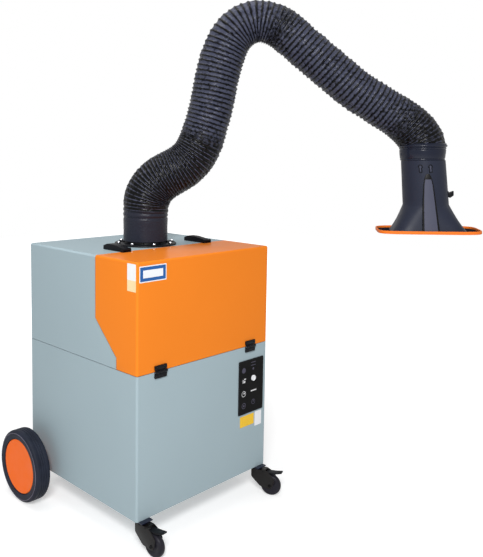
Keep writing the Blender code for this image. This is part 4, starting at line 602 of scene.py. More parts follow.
def plate(name, outline, low, high, place=CABINET, plane="XZ", edge=0.0):
    """A plate cut to an outline, between two heights over its plane. An edge bevels its rims."""
    bm = bmesh.new()
    base = bm.faces.new([bm.verts.new((x, y, low)) for x, y in outline])
    grown = bmesh.ops.extrude_face_region(bm, geom=[base])
    lifted = [item for item in grown["geom"] if isinstance(item, bmesh.types.BMVert)]
    bmesh.ops.translate(bm, verts=lifted, vec=(0, 0, high - low))
    if edge:
        rim = [e for e in bm.edges if abs(e.verts[0].co.z - e.verts[1].co.z) < 0.0000001]
        bevel = {"segments": 2, "profile": 0.5, "affect": "EDGES", "clamp_overlap": True}
        bmesh.ops.bevel(bm, geom=rim, offset=edge, **bevel)
    return piece_from(name, bm, place @ PLANES[plane])


def joined(name, pieces):
    """One object made of several."""
    bm = bmesh.new()
    for piece in pieces:
        bm.from_mesh(piece.data)
        bpy.data.objects.remove(piece)
    return as_object(name, bm)


def shaped(piece, cutters=(), even_normals=False):
    """The piece with its modifiers applied and the cutters cut out of it."""
    for cutter in cutters:
        modifier = piece.modifiers.new("cut", "BOOLEAN")
        modifier.object = cutter
    if even_normals:
        piece.modifiers.new("normals", "WEIGHTED_NORMAL").keep_sharp = True
    graph = bpy.context.evaluated_depsgraph_get()
    mesh = bpy.data.meshes.new_from_object(piece.evaluated_get(graph))
    piece.modifiers.clear()
    piece.data = mesh
    for cutter in cutters:
        bpy.data.objects.remove(cutter)
    return piece


def dress(piece, finish, body, slot, *replaced):
    """Gives a piece its finish, the body that it rides on and the nodes that it stands for."""
    piece.data.materials.clear()
    piece.data.materials.append(finish)
    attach(piece, body)
    if replaced:
        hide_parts(*replaced)


print("an outline of", len(rectangle(1, 1, 0.1)), "points")

# %% [markdown]
# ## The cabinet
# The cabinet is three shells of folded sheet: a lower housing, an upper housing and a front cover that
# hinges forward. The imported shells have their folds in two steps. These have six, so that light runs
# smoothly round each fold. A box is the quickest start: bevel the folded edges, open one side, then give
# the skin its thickness and cut the openings.

# %% Cabinet shells
WIDTH = 0.600
DEPTH = 0.600
CLEARANCE = 0.100
SEAM = 0.555
TOP = 0.900
SHEET = 0.002
SEAT = 0.0003
FRONT = DEPTH / 2
FOLD_RADIUS = 0.007
FOLD_STEPS = 6
SEAM_GAP = 0.0016
COVER_DEPTH = 0.2085
COVER_GAP = 0.002
WAIST_Y = -0.200
KNEE_Z = 0.592
SHOULDER_Z = 0.699
FLANGE_RADIUS = 0.110
FLANGE_GAP = 0.0015
ARM_Y = -FRONT + COVER_DEPTH + FLANGE_GAP + FLANGE_RADIUS
DUCT_RADIUS = 0.0665
WHEEL_Y = 0.236
WHEEL_RADIUS = 0.125
AXLE_HOLE = 0.0103
PANEL_X = 0.217
PANEL_Z = 0.410
PANEL_WINDOW = (0.105, 0.168)
GRILLE_Z = 0.250
OUTLET = (0.284, 0.128)
INLET_X = 0.210
INLET_Z = 0.170
PLUG_HOLE = 0.0275
FLOOR_CUT_WIDTH = 0.570
FLOOR_CUT_Y = -0.18075
# A cutter goes through the sheet from behind it to past it, and a small one has a margin at each end.
BEHIND = 0.29
PAST = 0.31
MARGIN = 0.01


def folded_box(name, low, high, is_fold, open_side):
    """A box of folded sheet. is_fold tells from an edge's direction from the middle if it's folded."""
    low, high = Vector(low), Vector(high)
    bm = bmesh.new()
    bmesh.ops.create_cube(bm, size=1)
    folds = [edge for edge in bm.edges if is_fold(edge.verts[0].co + edge.verts[1].co)]
    size = Matrix.Translation((low + high) / 2) @ Matrix.Diagonal((*(high - low), 1))
    bmesh.ops.transform(bm, matrix=size, verts=bm.verts)
    bmesh.ops.bevel(bm, geom=folds, offset=FOLD_RADIUS, segments=FOLD_STEPS, profile=0.5, affect="EDGES")
    bm.normal_update()
    opened = [face for face in bm.faces if face.normal.dot(Vector(open_side)) > 0.99]
    bmesh.ops.delete(bm, geom=opened, context="FACES")
    skin = piece_from(name, bm, CABINET)
    sheet = skin.modifiers.new("sheet", "SOLIDIFY")
    sheet.thickness = SHEET
    sheet.offset = -1
    sheet.use_even_offset = True
    return skin


def wing(gap):
    """The cover's side outline in (y, z), grown by a gap."""
    shoulder_y = -FRONT + COVER_DEPTH
    return [
        (WAIST_Y + gap, SEAM),
        (WAIST_Y + gap, KNEE_Z - gap / 2),
        (shoulder_y + gap, SHOULDER_Z - gap / 2),
        (shoulder_y + gap, TOP),
    ]


def upright(direction):
    """True for the four upright edges."""
    return abs(direction.z) < 0.5


half = WIDTH / 2
seam_low, seam_high = SEAM - SEAM_GAP / 2, SEAM + SEAM_GAP / 2
lower_box = folded_box("cabinet_lower", (-half, -FRONT, CLEARANCE), (half, FRONT, seam_low), upright, UP)
lower_cuts = [
    plate("axle_holes", circle(AXLE_HOLE, 24, WHEEL_Y, WHEEL_RADIUS), -PAST, PAST, plane="YZ"),
    plate("panel_window", rectangle(*PANEL_WINDOW, 0, PANEL_X, PANEL_Z), BEHIND, PAST),
    plate("outlet", rectangle(*OUTLET, 0, 0, GRILLE_Z), -PAST, -BEHIND),
    plate("plug_hole", circle(PLUG_HOLE, 24, INLET_X, INLET_Z), -PAST, -BEHIND),
]
lower_shell = shaped(lower_box, lower_cuts, True)
dress(lower_shell, housing_paint, "housing", "housing_grey", "lower_housing")

cut_low, cut_high = SEAM - MARGIN, TOP + MARGIN
room = [(-PAST, cut_low), (WAIST_Y + COVER_GAP, cut_low), *wing(COVER_GAP)[1:3]]
room += [(wing(COVER_GAP)[3][0], cut_high), (-PAST, cut_high)]
upper_box = folded_box(
    "cabinet_upper",
    (-half, -FRONT, seam_high),
    (half, FRONT, TOP),
    lambda way: upright(way) or way.z > 0.5 and way.y > -0.5,
    (0, 0, -1),
)
duct = plate("duct", circle(DUCT_RADIUS, 48, 0, ARM_Y), TOP - MARGIN, cut_high, plane="XY")
upper_shell = shaped(upper_box, [plate("cover_room", room, -PAST, PAST, plane="YZ"), duct], True)
dress(upper_shell, housing_paint, "housing", "housing_grey", "upper_housing")

behind = -FRONT + COVER_DEPTH + MARGIN
trim = [(WAIST_Y, cut_low), *wing(0)[1:3], (behind, SHOULDER_Z), (behind, cut_low)]
cover_box = folded_box(
    "cover_shell",
    (-half, -FRONT, seam_high),
    (half, -FRONT + COVER_DEPTH, TOP),
    lambda way: upright(way) and way.y < 0 or way.z > 0.5 and way.y < 0.5,
    (0, 1, 0),
)
floor_outline = rectangle(FLOOR_CUT_WIDTH, COVER_DEPTH, 0, 0, FLOOR_CUT_Y)
floor_cut = plate("floor_cut", floor_outline, cut_low, SEAM + MARGIN, plane="XY")
cover_shell = shaped(cover_box, [plate("wings", trim, -PAST, PAST, plane="YZ"), floor_cut], True)
dress(cover_shell, cover_paint, "cover", "cover_orange", "front_cover")
print("shell faces", [len(piece.data.polygons) for piece in (lower_shell, upper_shell, cover_shell)])

# %% [markdown]
# Two hinges hold the cover at the front seam. A leaf is a thick cast plate with rounded corners, a web
# and its share of the knuckle, and two screws hold it. The knuckle is a touch lighter than the leaf,
# because its round top catches the lamp.

# %% Hinges
HINGE_X = 0.208
HINGE_WIDTH = 0.049
LEAF_HEIGHT = 0.0142
LEAF_THICK = 0.0053
LEAF_AWAY = 0.0129
KNUCKLE_RADIUS = 0.005
KNUCKLE = HINGE_WIDTH / 3 - 0.0008
WEB_HEIGHT = 0.0066
SCREW_ACROSS = 0.0145
SCREW_AWAY = 0.0135


def barrel(name, radius, length, x, y, z):
    """A short rod along X with rounded rims, about a place in the cabinet's frame."""
    soft = radius / 6
    profile = [(0, -length / 2), (radius - soft, -length / 2), (radius, -length / 2 + soft)]
    profile += mirrored(profile)
    return turned(name, profile, CABINET @ Matrix.Translation((x, y, z)) @ PLANES["YZ"], 28)


def screw_at(name, place, radius, height):
    """A round screw head with a hex socket, on a place whose Z points outward."""
    profile = [(radius, 0), (radius, 0.6 * height), (0.86 * radius, height), (0.5 * radius, height)]
    profile += [(0.44 * radius, 0.45 * height), (0, 0.45 * height)]
    return turned(name, profile, place, 20)


def on_front(x, z, reach=FRONT):
    """A place over the cabinet's front, this far from its middle, with Z pointing out of it."""
    return CABINET @ Matrix.Translation((x, -reach, z)) @ PLANES["XZ"]


for side, x in (("left", -HINGE_X), ("right", HINGE_X)):
    for name, up, body, offsets in (("lower", -1, "housing", (-1, 1)), ("upper", 1, "cover", (0,))):
        outline = rectangle(HINGE_WIDTH, LEAF_HEIGHT, 0.0025, x, SEAM + up * LEAF_AWAY)
        parts = [plate("leaf", outline, FRONT + SEAT, FRONT + LEAF_THICK, edge=0.0009)]
        for offset in offsets:
            at = x + offset * HINGE_WIDTH / 3
            parts.append(barrel("knuckle", KNUCKLE_RADIUS, KNUCKLE, at, -FRONT - LEAF_THICK, SEAM))
            web = rectangle(KNUCKLE, WEB_HEIGHT, 0, at, SEAM + up * WEB_HEIGHT / 2)
            parts.append(plate("web", web, FRONT + 0.0006, FRONT + 0.005, edge=0.0003))
        leaf = joined(f"hinge_{name}_{side}", parts)
        dress(leaf, black_plastic, body, "black_plastic", f"hinge_leaf_{name}_{side}")
        heads = []
        for hand in (-1, 1):
            at = on_front(x + hand * SCREW_ACROSS, SEAM + up * SCREW_AWAY, FRONT + 0.0051)
            heads.append(screw_at("head", at, 0.0031, 0.0014))
        dress(joined(f"hinge_screws_{name}_{side}", heads), black_gloss, body, "black_plastic")
print("hinges at", [-HINGE_X, HINGE_X])

# %% [markdown]
# Two levers on the cover's top strip hold it shut. Each is a wedge with a round nose at its pivot, long
# and low, with a hollow under its tail for the fingers. Its rims are soft, since a hand pulls on them.

# %% Latch levers
LATCH_WIDTH = 0.028
NOSE = 0.005
TAIL = 0.105
SOLE = -0.0077
PEAK = 0.0123
HEEL = 0.0063

for side in ("left", "right"):
    pivot = Matrix.Translation(joints[f"latch_{side}_pivot"]["pos_m"])
    tail = [(HEEL, -NOSE), (HEEL, SOLE), (TAIL, SOLE), (TAIL, PEAK - 0.007), (TAIL - 0.020, PEAK)]
    outline = arc(0, 0, NOSE, 110, 270, 12) + rounded(tail + [(TAIL / 2, PEAK)], 0.003, 4, False)
    lever = plate("lever", outline, -LATCH_WIDTH / 2, LATCH_WIDTH / 2, pivot, "YZ", 0.0016)
    hollow = rectangle(TAIL - HEEL - 0.008, 0.012, 0, (TAIL + HEEL) / 2, SOLE - 0.0015)
    scoop = plate("scoop", hollow, -0.011, 0.011, pivot, "YZ")
    pin = turned("pin", rod(0.0022, -0.0173, 0.0173), pivot @ PLANES["YZ"], 20)
    lever = joined(f"latch_wedge_{side}", [shaped(lever, [scoop]), pin])
    dress(lever, black_plastic, f"latch_{side}", "black_plastic", f"latch_lever_{side}")
print("lever length", TAIL + NOSE)

# %% [markdown]
# The control panel is a black plate with a printed film in its frame. The marks on it are only plain
# shapes: a lamp, a few lines and dots that stand where a user expects them. The white button is a cap
# with a soft rim and a slightly hollow face, and it slides in when pressed.

# %% Control panel
PANEL_WIDTH = 0.129
PANEL_HEIGHT = 0.192
FILM_BORDER = 0.007
CAP_X = 0.2265
CAP_Z = 0.4365
CAP_RADIUS = 0.0102
FACE = FRONT + SEAT + 0.003
MARK_THICK = 0.0003


def button_hole():
    """A cutter for the button's cap, with room to slide."""
    return plate("button_hole", circle(CAP_RADIUS + 0.0010, 40, CAP_X, CAP_Z), BEHIND, PAST + MARGIN)


panel_outline = rectangle(PANEL_WIDTH, PANEL_HEIGHT, 0.004, PANEL_X, PANEL_Z)
body_plate = plate("control_plate", panel_outline, FRONT + SEAT, FACE, edge=0.0008)
dress(shaped(body_plate, [button_hole()], True), black_plastic, "housing", "black_plastic", "control_panel")
film_outline = rectangle(PANEL_WIDTH - FILM_BORDER, PANEL_HEIGHT - FILM_BORDER, 0.003, PANEL_X, PANEL_Z)
film = plate("panel_sheet", film_outline, FACE - 0.0004, FACE + 0.0002)
dress(shaped(film, [button_hole()], True), panel_film, "housing", "black_plastic")
cap = [(0, -0.016), (0.0045, -0.016), (0.0045, 0.0006), (CAP_RADIUS, 0.0006), (CAP_RADIUS, 0.0034)]
cap += [(0.0096, 0.0043), (0.0086, 0.0045), (0.0070, 0.0041), (0.0035, 0.0037), (0, 0.0036)]
button = turned("button_cap", cap, on_front(CAP_X, CAP_Z, FACE), 48)
dress(button, white_gloss, "button", "button_white", "start_button")


def mark(outline):
    """A printed mark on the panel."""
    return plate("mark", outline, FACE, FACE + MARK_THICK)


def bar(x, z, width, height):
    """A printed bar about a place on the panel."""
    return mark(rectangle(width, height, 0.001, x, z))


def ring_mark(x, z, radius, line):
    """A printed ring about a place on the panel."""
    section = [(radius, 0), (radius, MARK_THICK), (radius - line, MARK_THICK), (radius - line, 0)]
    return turned("ring", section, on_front(x, z, FACE), 32, True)


light_marks = [bar(0.2300, 0.391, 0.030, 0.0045), bar(0.1830, 0.440, 0.010, 0.004)]
light_marks += [mark(circle(0.0045, 20, 0.1810, 0.4310)), bar(0.1735, 0.433, 0.004, 0.012)]
light_marks += [ring_mark(0.178, 0.3880, 0.0105, 0.0018), mark(circle(0.0035, 20, 0.1800, 0.3900))]
dim_marks = [bar(0.2265, 0.4935, 0.024, 0.0026), bar(0.2265, 0.4830, 0.024, 0.0026)]
dim_marks += [mark(circle(0.0045, 24, 0.2265, 0.4700)), mark(circle(0.0095, 28, 0.1765, 0.4720))]
dim_marks += [ring_mark(0.2290, 0.3500, 0.0095, 0.0016), bar(0.2290, 0.3540, 0.004, 0.010)]
dim_marks += [ring_mark(0.1790, 0.3450, 0.0105, 0.0022), mark(circle(0.0040, 20, 0.1790, 0.3450))]
print("panel marks", len(light_marks) + len(dim_marks))
dress(joined("panel_marks_light", light_marks), mark_white, "housing", "button_white")
dress(joined("panel_marks_dim", dim_marks), mark_grey, "housing", "button_white")

# %% [markdown]
# Five stickers are on the cabinet. Their print is left out: they are plain films in the colours that
# they have from afar. The framed one is three films on each other, each a little smaller.

# %% Stickers
FILM = 0.00025
BAND = 0.00005
FRAMED_LAYERS = (
    ("sticker_edge", film_white, 0.107, 0.050, 0.002),
    ("sticker_frame", film_blue, 0.1010, 0.0435, 0.0015),
    ("sticker_field", film_white, 0.079, 0.0235, 0.001),
)
SIDE_LABELS = (("label_side_top", film_white, 0.8690, 0.050), ("label_side_low", film_cream, 0.8270, 0.034))


def front_film(name, finish, body, outline, layer=0):
    """A film on the front, with layers that lie on each other."""
    lift = FRONT + BAND + layer * FILM
    dress(plate(name, outline, lift - layer * BAND, lift + FILM), finish, body, "button_white")


for layer, (name, finish, width, height, corner) in enumerate(FRAMED_LAYERS):
    front_film(name, finish, "cover", rectangle(width, height, corner, -0.2385, 0.8625), layer)
front_film("label_yellow", film_yellow, "housing", rectangle(0.073, 0.039, 0.002, 0.2005, 0.2865))
front_film("label_white", film_white, "housing", rectangle(0.036, 0.052, 0.002, 0.2600, 0.2815))
for name, finish, z, height in SIDE_LABELS:
    outline = rectangle(0.041, height, 0.0015, -0.2735, z)
    side_film = plate(name, outline, -FRONT - BAND - FILM, -FRONT - BAND, plane="YZ")
    dress(side_film, finish, "cover", "button_white")
print("films", len(FRAMED_LAYERS) + len(SIDE_LABELS) + 2)

# %% [markdown]
# ## Running gear
# A rear wheel is a solid rubber tyre on a closed moulded disc. The tyre has a thin raised line at its
# shoulder, in a pale rubber that paints a highlight along it, and fine grooves in its tread, and a narrow
# dark gap lies between the tyre and the disc. Both are turned shapes, so a good profile is all the work.

# %% Rear wheels
WHEEL_WIDTH = 0.056
DISC_RADIUS = 0.0945
HALF = WHEEL_WIDTH / 2
GROOVES = (-0.0085, 0.0, 0.0085)
GROOVE_DEPTH = 0.0018
GROOVE_HALF = 0.0013
WHEEL_SIDES = 128
# Painted highlight: a pale rubber on the ridge at the tyre's shoulder.
ridge_highlight_rubber = rubber("ridge_highlight_rubber", srgb(112, 108, 124), 0.45)


def tread_profile():
    """The tyre's section from its outer side over the tread to its inner side, as (radius, height)."""
    outer = [(DISC_RADIUS + 0.0004, HALF - 0.006), (0.0962, HALF - 0.0012), (0.0985, HALF)]
    outer += [(0.1135, HALF - 0.0004), (0.1150, HALF + 0.0006), (0.1164, HALF - 0.0004)]
    outer += [(0.1195, HALF - 0.0030), *arc(0.1185, HALF - 0.0085, 0.0060, 55, 10, 4)]
    outer += [(WHEEL_RADIUS, HALF - 0.0105)]
    tread = []
    groove = ((0, GROOVE_HALF + 0.0006), (0.0004, GROOVE_HALF), (GROOVE_DEPTH, GROOVE_HALF / 2))
    for height in reversed(GROOVES):
        tread += [(WHEEL_RADIUS - depth, height + away) for depth, away in groove]
        tread += [(WHEEL_RADIUS - depth, height - away) for depth, away in reversed(groove)]
    return outer + tread + mirrored(outer)


def disc_profile():
    """The section of the closed wheel disc and its hub."""
    face = HALF - 0.003
    inside = face - 0.005
    profile = [(0, face - 0.0006), (0.030, face - 0.0006), (0.086, face - 0.0002), (0.0905, face + 0.0004)]
    profile += [(0.0928, face), (0.0938, face - 0.0012), (0.0940, face - 0.006), (0.0940, -face)]
    profile += [(0.0905, -face), (0.0905, inside), (0.018, inside), (0.018, -HALF), (AXLE_HOLE, -HALF)]
    return profile + [(AXLE_HOLE, inside), (0, inside)]


RIDGE = [(0.1141, HALF + 0.0002), (0.1150, HALF + 0.0012), (0.1159, HALF + 0.0002), (0.1150, HALF - 0.0006)]
for side, hand in (("left", -1), ("right", 1)):
    axle = Matrix.Translation(joints[f"rear_wheel_{side}_spin"]["pos_m"])
    outward = axle @ Matrix.Rotation(hand * math.pi / 2, 4, "Y")
    body = f"rear_wheel_{side}"
    tyre = turned(f"tyre_{side}", tread_profile(), outward, WHEEL_SIDES, True)
    dress(tyre, tyre_rubber, body, "tyre_rubber", f"rear_tyre_{side}")
    dress(turned(f"tyre_ridge_{side}", RIDGE, outward, WHEEL_SIDES, True), ridge_highlight_rubber, body, "tyre_rubber")
    hub = turned(f"disc_{side}", disc_profile(), outward, WHEEL_SIDES)
    dress(hub, disc_plastic, body, "disc_orange", f"rear_hub_{side}")
print("tyre section points", len(tread_profile()))

# %% [markdown]
# A castor has a pressed fork with two cheeks that reach back to the axle, a tread wheel between them and
# a brake pedal over the wheel. The fork is pressed steel with a black coating that has browned, and the
# plate over it has a bluer one. All the parts are made in the castor's frame, once for each side.

# %% Castors
CASTOR_TRAIL = 0.052
CASTOR_RADIUS = 0.0375
CASTOR_HALF = 0.012
CHEEK = 0.003
CHEEK_FACE = CASTOR_HALF + 0.002
HEAD_TOP = 0.0964
HEAD_BASE = 0.0884
CROWN = 0.0914
BORE = 0.0053
CHEEK_OUTLINE = [
    (0.0640, 0.0375),
    (0.0700, 0.0620),
    (0.0520, 0.0820),
    (0.0340, CROWN),
    (-0.0180, CROWN),
    (-0.0180, 0.0620),
    (0.0160, 0.0310),
    (0.0480, 0.0262),
    (0.0560, 0.0262),
]
fork_coat = moulded("fork_coat", srgb(16, 13, 13), 0.34, specular=0.3)
plate_coat = moulded("plate_coat", srgb(22, 25, 46), 0.28, specular=0.4)


def castor_fork(side, place):
    """The swivel head, the yoke and the two cheeks as one piece."""
    head = [(0.018, HEAD_TOP), (0.019, HEAD_TOP - 0.001), (0.019, HEAD_TOP - 0.0028)]
    head += [(0.0176, HEAD_TOP - 0.0036), (0.0176, HEAD_TOP - 0.0046), (0.019, HEAD_TOP - 0.0054)]
    head += [(0.019, HEAD_BASE + 0.0006), (0.018, HEAD_BASE), (BORE, HEAD_BASE), (BORE, HEAD_TOP)]
    parts = [turned("head", head, place, 56, True)]
    yoke = rectangle(0.052, 2 * CHEEK_FACE + 0.002, 0.002, 0.008, 0)
    yoke_plate = plate("yoke", yoke, CROWN - 0.0038, CROWN - 0.0003, place, "XY", 0.0004)
    parts.append(shaped(yoke_plate, [plate("kingpin_bore", circle(BORE, 32), 0.08, 0.1, place, "XY")]))
    cheek = rounded(CHEEK_OUTLINE, 0.006, 5)
    for low, high in ((CHEEK_FACE, CHEEK_FACE + CHEEK), (-CHEEK_FACE - CHEEK, -CHEEK_FACE)):
        parts.append(plate("cheek", cheek, low, high, place, "XZ", 0.0011))
    return joined(f"castor_yoke_{side}", parts)


def castor_bolts(side, place):
    """The axle's nuts and the rivets on both cheeks."""
    bolts = []
    for hand in (-1, 1):
        turn = PLANES["XZ"] if hand > 0 else PLANES["XZ"] @ Matrix.Rotation(math.pi, 4, "X")
        for name, x, z, radius, height in (
            ("axle_nut", CASTOR_TRAIL, CASTOR_RADIUS, 0.0056, 0.0028),
            ("rivet", 0.026, 0.0865, 0.0028, 0.0012),
        ):
            out = Matrix.Translation((0, 0, CHEEK_FACE + CHEEK - 0.0002))
            bolts.append(screw_at(name, place @ Matrix.Translation((x, 0, z)) @ turn @ out, radius, height))
    return joined(f"castor_bolts_{side}", bolts)


def roller_profile():
    """The section of the castor's wheel, from its bore round its tread."""
    half = [(0.0043, 0.0120), (0.0100, 0.0120), (0.0112, 0.0108), (0.0180, 0.0104), (0.0200, 0.0116)]
    half += [(0.0290, 0.0116), (0.0315, 0.0110), *arc(0.0285, 0.0030, 0.0085, 68, 12, 6)]
    half += [(CASTOR_RADIUS - 0.0001, 0.0018)]
    return half + [(CASTOR_RADIUS, 0)] + mirrored(half)


for side, place in CASTORS.items():
    nodes[f"castor_plate_{side}"].material_slots[0].material = plate_coat
    dress(castor_fork(side, place), fork_coat, f"castor_{side}", "black_plastic", f"castor_fork_{side}")
    dress(castor_bolts(side, place), black_gloss, f"castor_{side}", "black_plastic")
    axis = place @ Matrix.Translation((CASTOR_TRAIL, 0, CASTOR_RADIUS)) @ PLANES["XZ"]
    wheel = turned(f"castor_tyre_{side}", roller_profile(), axis, 72, True)
    dress(wheel, castor_grey, f"castor_roller_{side}", "tyre_rubber", f"castor_wheel_{side}")
print("castor frames", [[round(value, 3) for value in place.translation] for place in CASTORS.values()])

# %% [markdown]
# The pedal is a wedge that narrows to a blunt tip, with three low ribs across it for the shoe. It tips on
# a pin between the cheeks.

# %% Brake pedals
PEDAL_PLACE = Matrix.Translation((0.040, 0, 0.082))
PEDAL_THICK = 0.004
PEDAL_HALF = 0.0137
PEDAL_SECTIONS = (
    (-0.0040, PEDAL_HALF, -0.0020),
    (0.0150, PEDAL_HALF, -0.0006),
    (0.0280, PEDAL_HALF, 0.0002),
    (0.0420, 0.0120, 0.0032),
    (0.0520, 0.0102, 0.0056),
    (0.0540, 0.0088, 0.0062),
)


def bar_through(name, sections, place, edge=0.0006):
    """A flat bar through sections of (x, half width, lower height, thickness), with soft edges."""
    rings = []
    for x, half_y, low, thick in sections:
        soft = min(edge, 0.4 * thick)
        corners = [(-half_y, low), (half_y, low), (half_y, low + thick), (-half_y, low + thick)]
        rings.append([(x, y, z) for y, z in rounded(corners, soft, 2)])
    return skin_through(name, rings, place, True)


for side in CASTORS:
    place = CASTORS[side] @ PEDAL_PLACE
    parts = [bar_through("tread", [(*section, PEDAL_THICK) for section in PEDAL_SECTIONS], place)]
    for x, low in ((0.036, 0.0052), (0.0415, 0.0066), (0.047, 0.0080)):
        ridge = [(x - 0.001, 0.0085, low - 0.0005, 0.0012), (x + 0.001, 0.0085, low, 0.0012)]
        parts.append(bar_through("ridge", ridge, place, 0.0003))
    parts.append(turned("pin", rod(0.0020, -0.0168, 0.0168), place @ PLANES["XZ"], 16))
    pedal = joined(f"pedal_{side}", parts)
    dress(pedal, black_plastic, f"castor_brake_{side}", "black_plastic", f"castor_pedal_{side}")
print("pedal sections", len(PEDAL_SECTIONS))

# %% [markdown]
# ## The arm's foot
# The arm turns in a cast flange on the cabinet's top. The flange has a thin rim, a short neck, eight
# small gussets and eight bright screws between them. Small bright screws on a black ring say a lot about
# how the real part is held, so each one stands on its own boss.

# %% Arm flange
FLANGE_THICK = 0.006
NECK_RADIUS = 0.0745
NECK_HEIGHT = 0.013
NECK_BORE = 0.0640
GUSSET_RADIUS = 0.094
BOSS_CIRCLE = 0.0985
BOSS_RADIUS = 0.0075
BOSS_TOP = 0.0082
SCREWS = 8

section = [(NECK_BORE, 0), (NECK_BORE, NECK_HEIGHT), (NECK_RADIUS - 0.0008, NECK_HEIGHT)]
section += [(NECK_RADIUS, NECK_HEIGHT - 0.0008), (NECK_RADIUS, FLANGE_THICK + 0.0015)]
section += [(NECK_RADIUS + 0.0005, FLANGE_THICK + 0.0005), (NECK_RADIUS + 0.0018, FLANGE_THICK)]
section += [(FLANGE_RADIUS - 0.003, FLANGE_THICK), (FLANGE_RADIUS - 0.0012, FLANGE_THICK - 0.0008)]
section += [(FLANGE_RADIUS, FLANGE_THICK - 0.0026), (FLANGE_RADIUS, 0)]
parts = [turned("ring", section, ARM, 112, True)]
side_view = [(0.072, 0.003), (GUSSET_RADIUS, 0.003), (GUSSET_RADIUS, 0.0072), (0.072, 0.0125)]
boss = [(0, 0.0004), (BOSS_RADIUS, 0.0004), (BOSS_RADIUS, BOSS_TOP - 0.0008)]
boss += [(BOSS_RADIUS - 0.0008, BOSS_TOP), (0, BOSS_TOP)]
heads = []
for angle in turn_steps(SCREWS):
    turn = Matrix.Rotation(angle, 4, "Z")
    parts.append(plate("gusset", rounded(side_view, 0.001, 2), -0.0015, 0.0015, ARM @ turn, "XZ", 0.0005))
    at = ARM @ Matrix.Rotation(math.pi / SCREWS, 4, "Z") @ turn @ Matrix.Translation((BOSS_CIRCLE, 0, 0))
    parts.append(turned("boss", boss, at, 28))
    heads.append(screw_at("head", at @ Matrix.Translation((0, 0, BOSS_TOP - 0.0003)), 0.0052, 0.0042))
dress(joined("flange_ring", parts), black_plastic, "housing", "black_plastic", "arm_flange")
dress(joined("flange_screws", heads), screw_zinc, "housing", "zinc_steel")
print("flange screws", len(heads))

# %% [markdown]
# ## The hood
# The hood is one moulding: a round neck that flares into a wide oval, with a flat plate round its mouth.
# Superellipse sections make it: power 2 is an ellipse, and a higher power is more like a rounded
# rectangle. The neck's middle line drifts a little to one side, as the photograph shows. The skin runs
# down outside and up inside in one closed loop, so the wall is equally thick everywhere.

# %% Hood shell
HOOD_SIDES = 112
HOOD_WALL = 0.0028
HOOD_COLLAR = 0.052
HOOD_LENGTH = 0.302
HOOD_NECK = (0.0752, 0.0782)
COLLAR_OUTER = 0.0640
COLLAR_INNER = 0.0612
FLARE_START = 0.208
FLARE_HALF = (0.1285, 0.088)
FLARE_STEPS = 18
PLATE_HALF = (0.1700, 0.0985)
PLATE_SQUARENESS = 5.0
FLAP_DROP = 0.170


def oval(half_x, half_y, squareness, z, drift=0.0):
    """A ring of points on a superellipse."""
    ring = []
    for angle in turn_steps(HOOD_SIDES):
        c, s = math.cos(angle), math.sin(angle)
        x = math.copysign(abs(c) ** (2 / squareness), c) * half_x
        y = math.copysign(abs(s) ** (2 / squareness), s) * half_y
        ring.append((x + drift, y, z))
    return ring


def hood_drift(depth):
    """How far the hood's middle line lies to the side at a depth under its collar's top."""
    return float(np.interp(depth, (HOOD_COLLAR, FLARE_START, HOOD_LENGTH), (-0.0028, 0.0090, 0.0170)))


def neck_radius(depth):
    """The neck's radius at a depth: it widens a little on its way down."""
    return float(np.interp(depth, (HOOD_COLLAR, FLARE_START), HOOD_NECK))


def hood_sections(inset):
    """The sections from the neck's top to the mouth, drawn in by an inset."""
    rings = []
    for depth in np.linspace(HOOD_COLLAR + 0.0003, FLARE_START, 9):
        radius = neck_radius(depth) - inset
        rings.append(oval(radius, radius, 2, -depth, hood_drift(depth)))
    for share in (step / FLARE_STEPS for step in range(1, FLARE_STEPS + 1)):
        depth = FLARE_START + (HOOD_LENGTH - FLARE_START) * share
        curve = 0.75 * share + 0.25 * share**3
        half_x, half_y = (HOOD_NECK[1] + (wide - HOOD_NECK[1]) * curve - inset for wide in FLARE_HALF)
        rings.append(oval(half_x, half_y, 2 + (PLATE_SQUARENESS - 2) * share, -depth, hood_drift(depth)))
    return rings


def collar_ring(radius, depth):
    """A round section of the collar."""
    return oval(radius, radius, 2, -depth)


def plate_ring(z, out=0.0):
    """The plate's outline at a height, grown by a distance."""
    return oval(PLATE_HALF[0] + out, PLATE_HALF[1] + out, PLATE_SQUARENESS, z, mouth_drift)


def mouth_ring(z):
    """The mouth's outline at a height."""
    return oval(*FLARE_HALF, PLATE_SQUARENESS, z, hood_drift(HOOD_LENGTH))


mouth_drift = hood_drift(HOOD_LENGTH) - 0.0012
floor_z = -HOOD_LENGTH - HOOD_WALL
outer_skin = [collar_ring(COLLAR_OUTER, 0), collar_ring(COLLAR_OUTER, 0.0515), collar_ring(0.0715, 0.0520)]
outer_skin += hood_sections(0) + [plate_ring(-HOOD_LENGTH)]
inner_skin = [collar_ring(COLLAR_INNER, 0), collar_ring(COLLAR_INNER, 0.0540)]
inner_skin += hood_sections(HOOD_WALL)[1:] + [mouth_ring(floor_z), plate_ring(floor_z)]
around = outer_skin + inner_skin[::-1]
hood_shell = skin_through("hood_shell", around + around[:1], HOOD)
lip_z = -HOOD_LENGTH + 0.0006
lip = [plate_ring(lip_z), plate_ring(lip_z - 0.0005), mouth_ring(lip_z - 0.0005), mouth_ring(lip_z)]
# The plate's top is darker and matt than the hood.
plate_top_matt = moulded("plate_top_matt", srgb(16, 18, 30), 0.85, specular=0.03)
dress(skin_through("plate_lip", lip + lip[:1], HOOD), plate_top_matt, "hood", "hood_plastic")
spindle = HOOD @ Matrix.Translation((hood_drift(FLAP_DROP), 0, -FLAP_DROP)) @ PLANES["YZ"]
shaped(hood_shell, [turned("bore", rod(0.0043, -0.2, 0.2), spindle, 24)])
dress(hood_shell, hood_plastic, "hood", "hood_plastic", "suction_hood")
print("hood box", [round(value, 3) for value in hood_shell.dimensions])
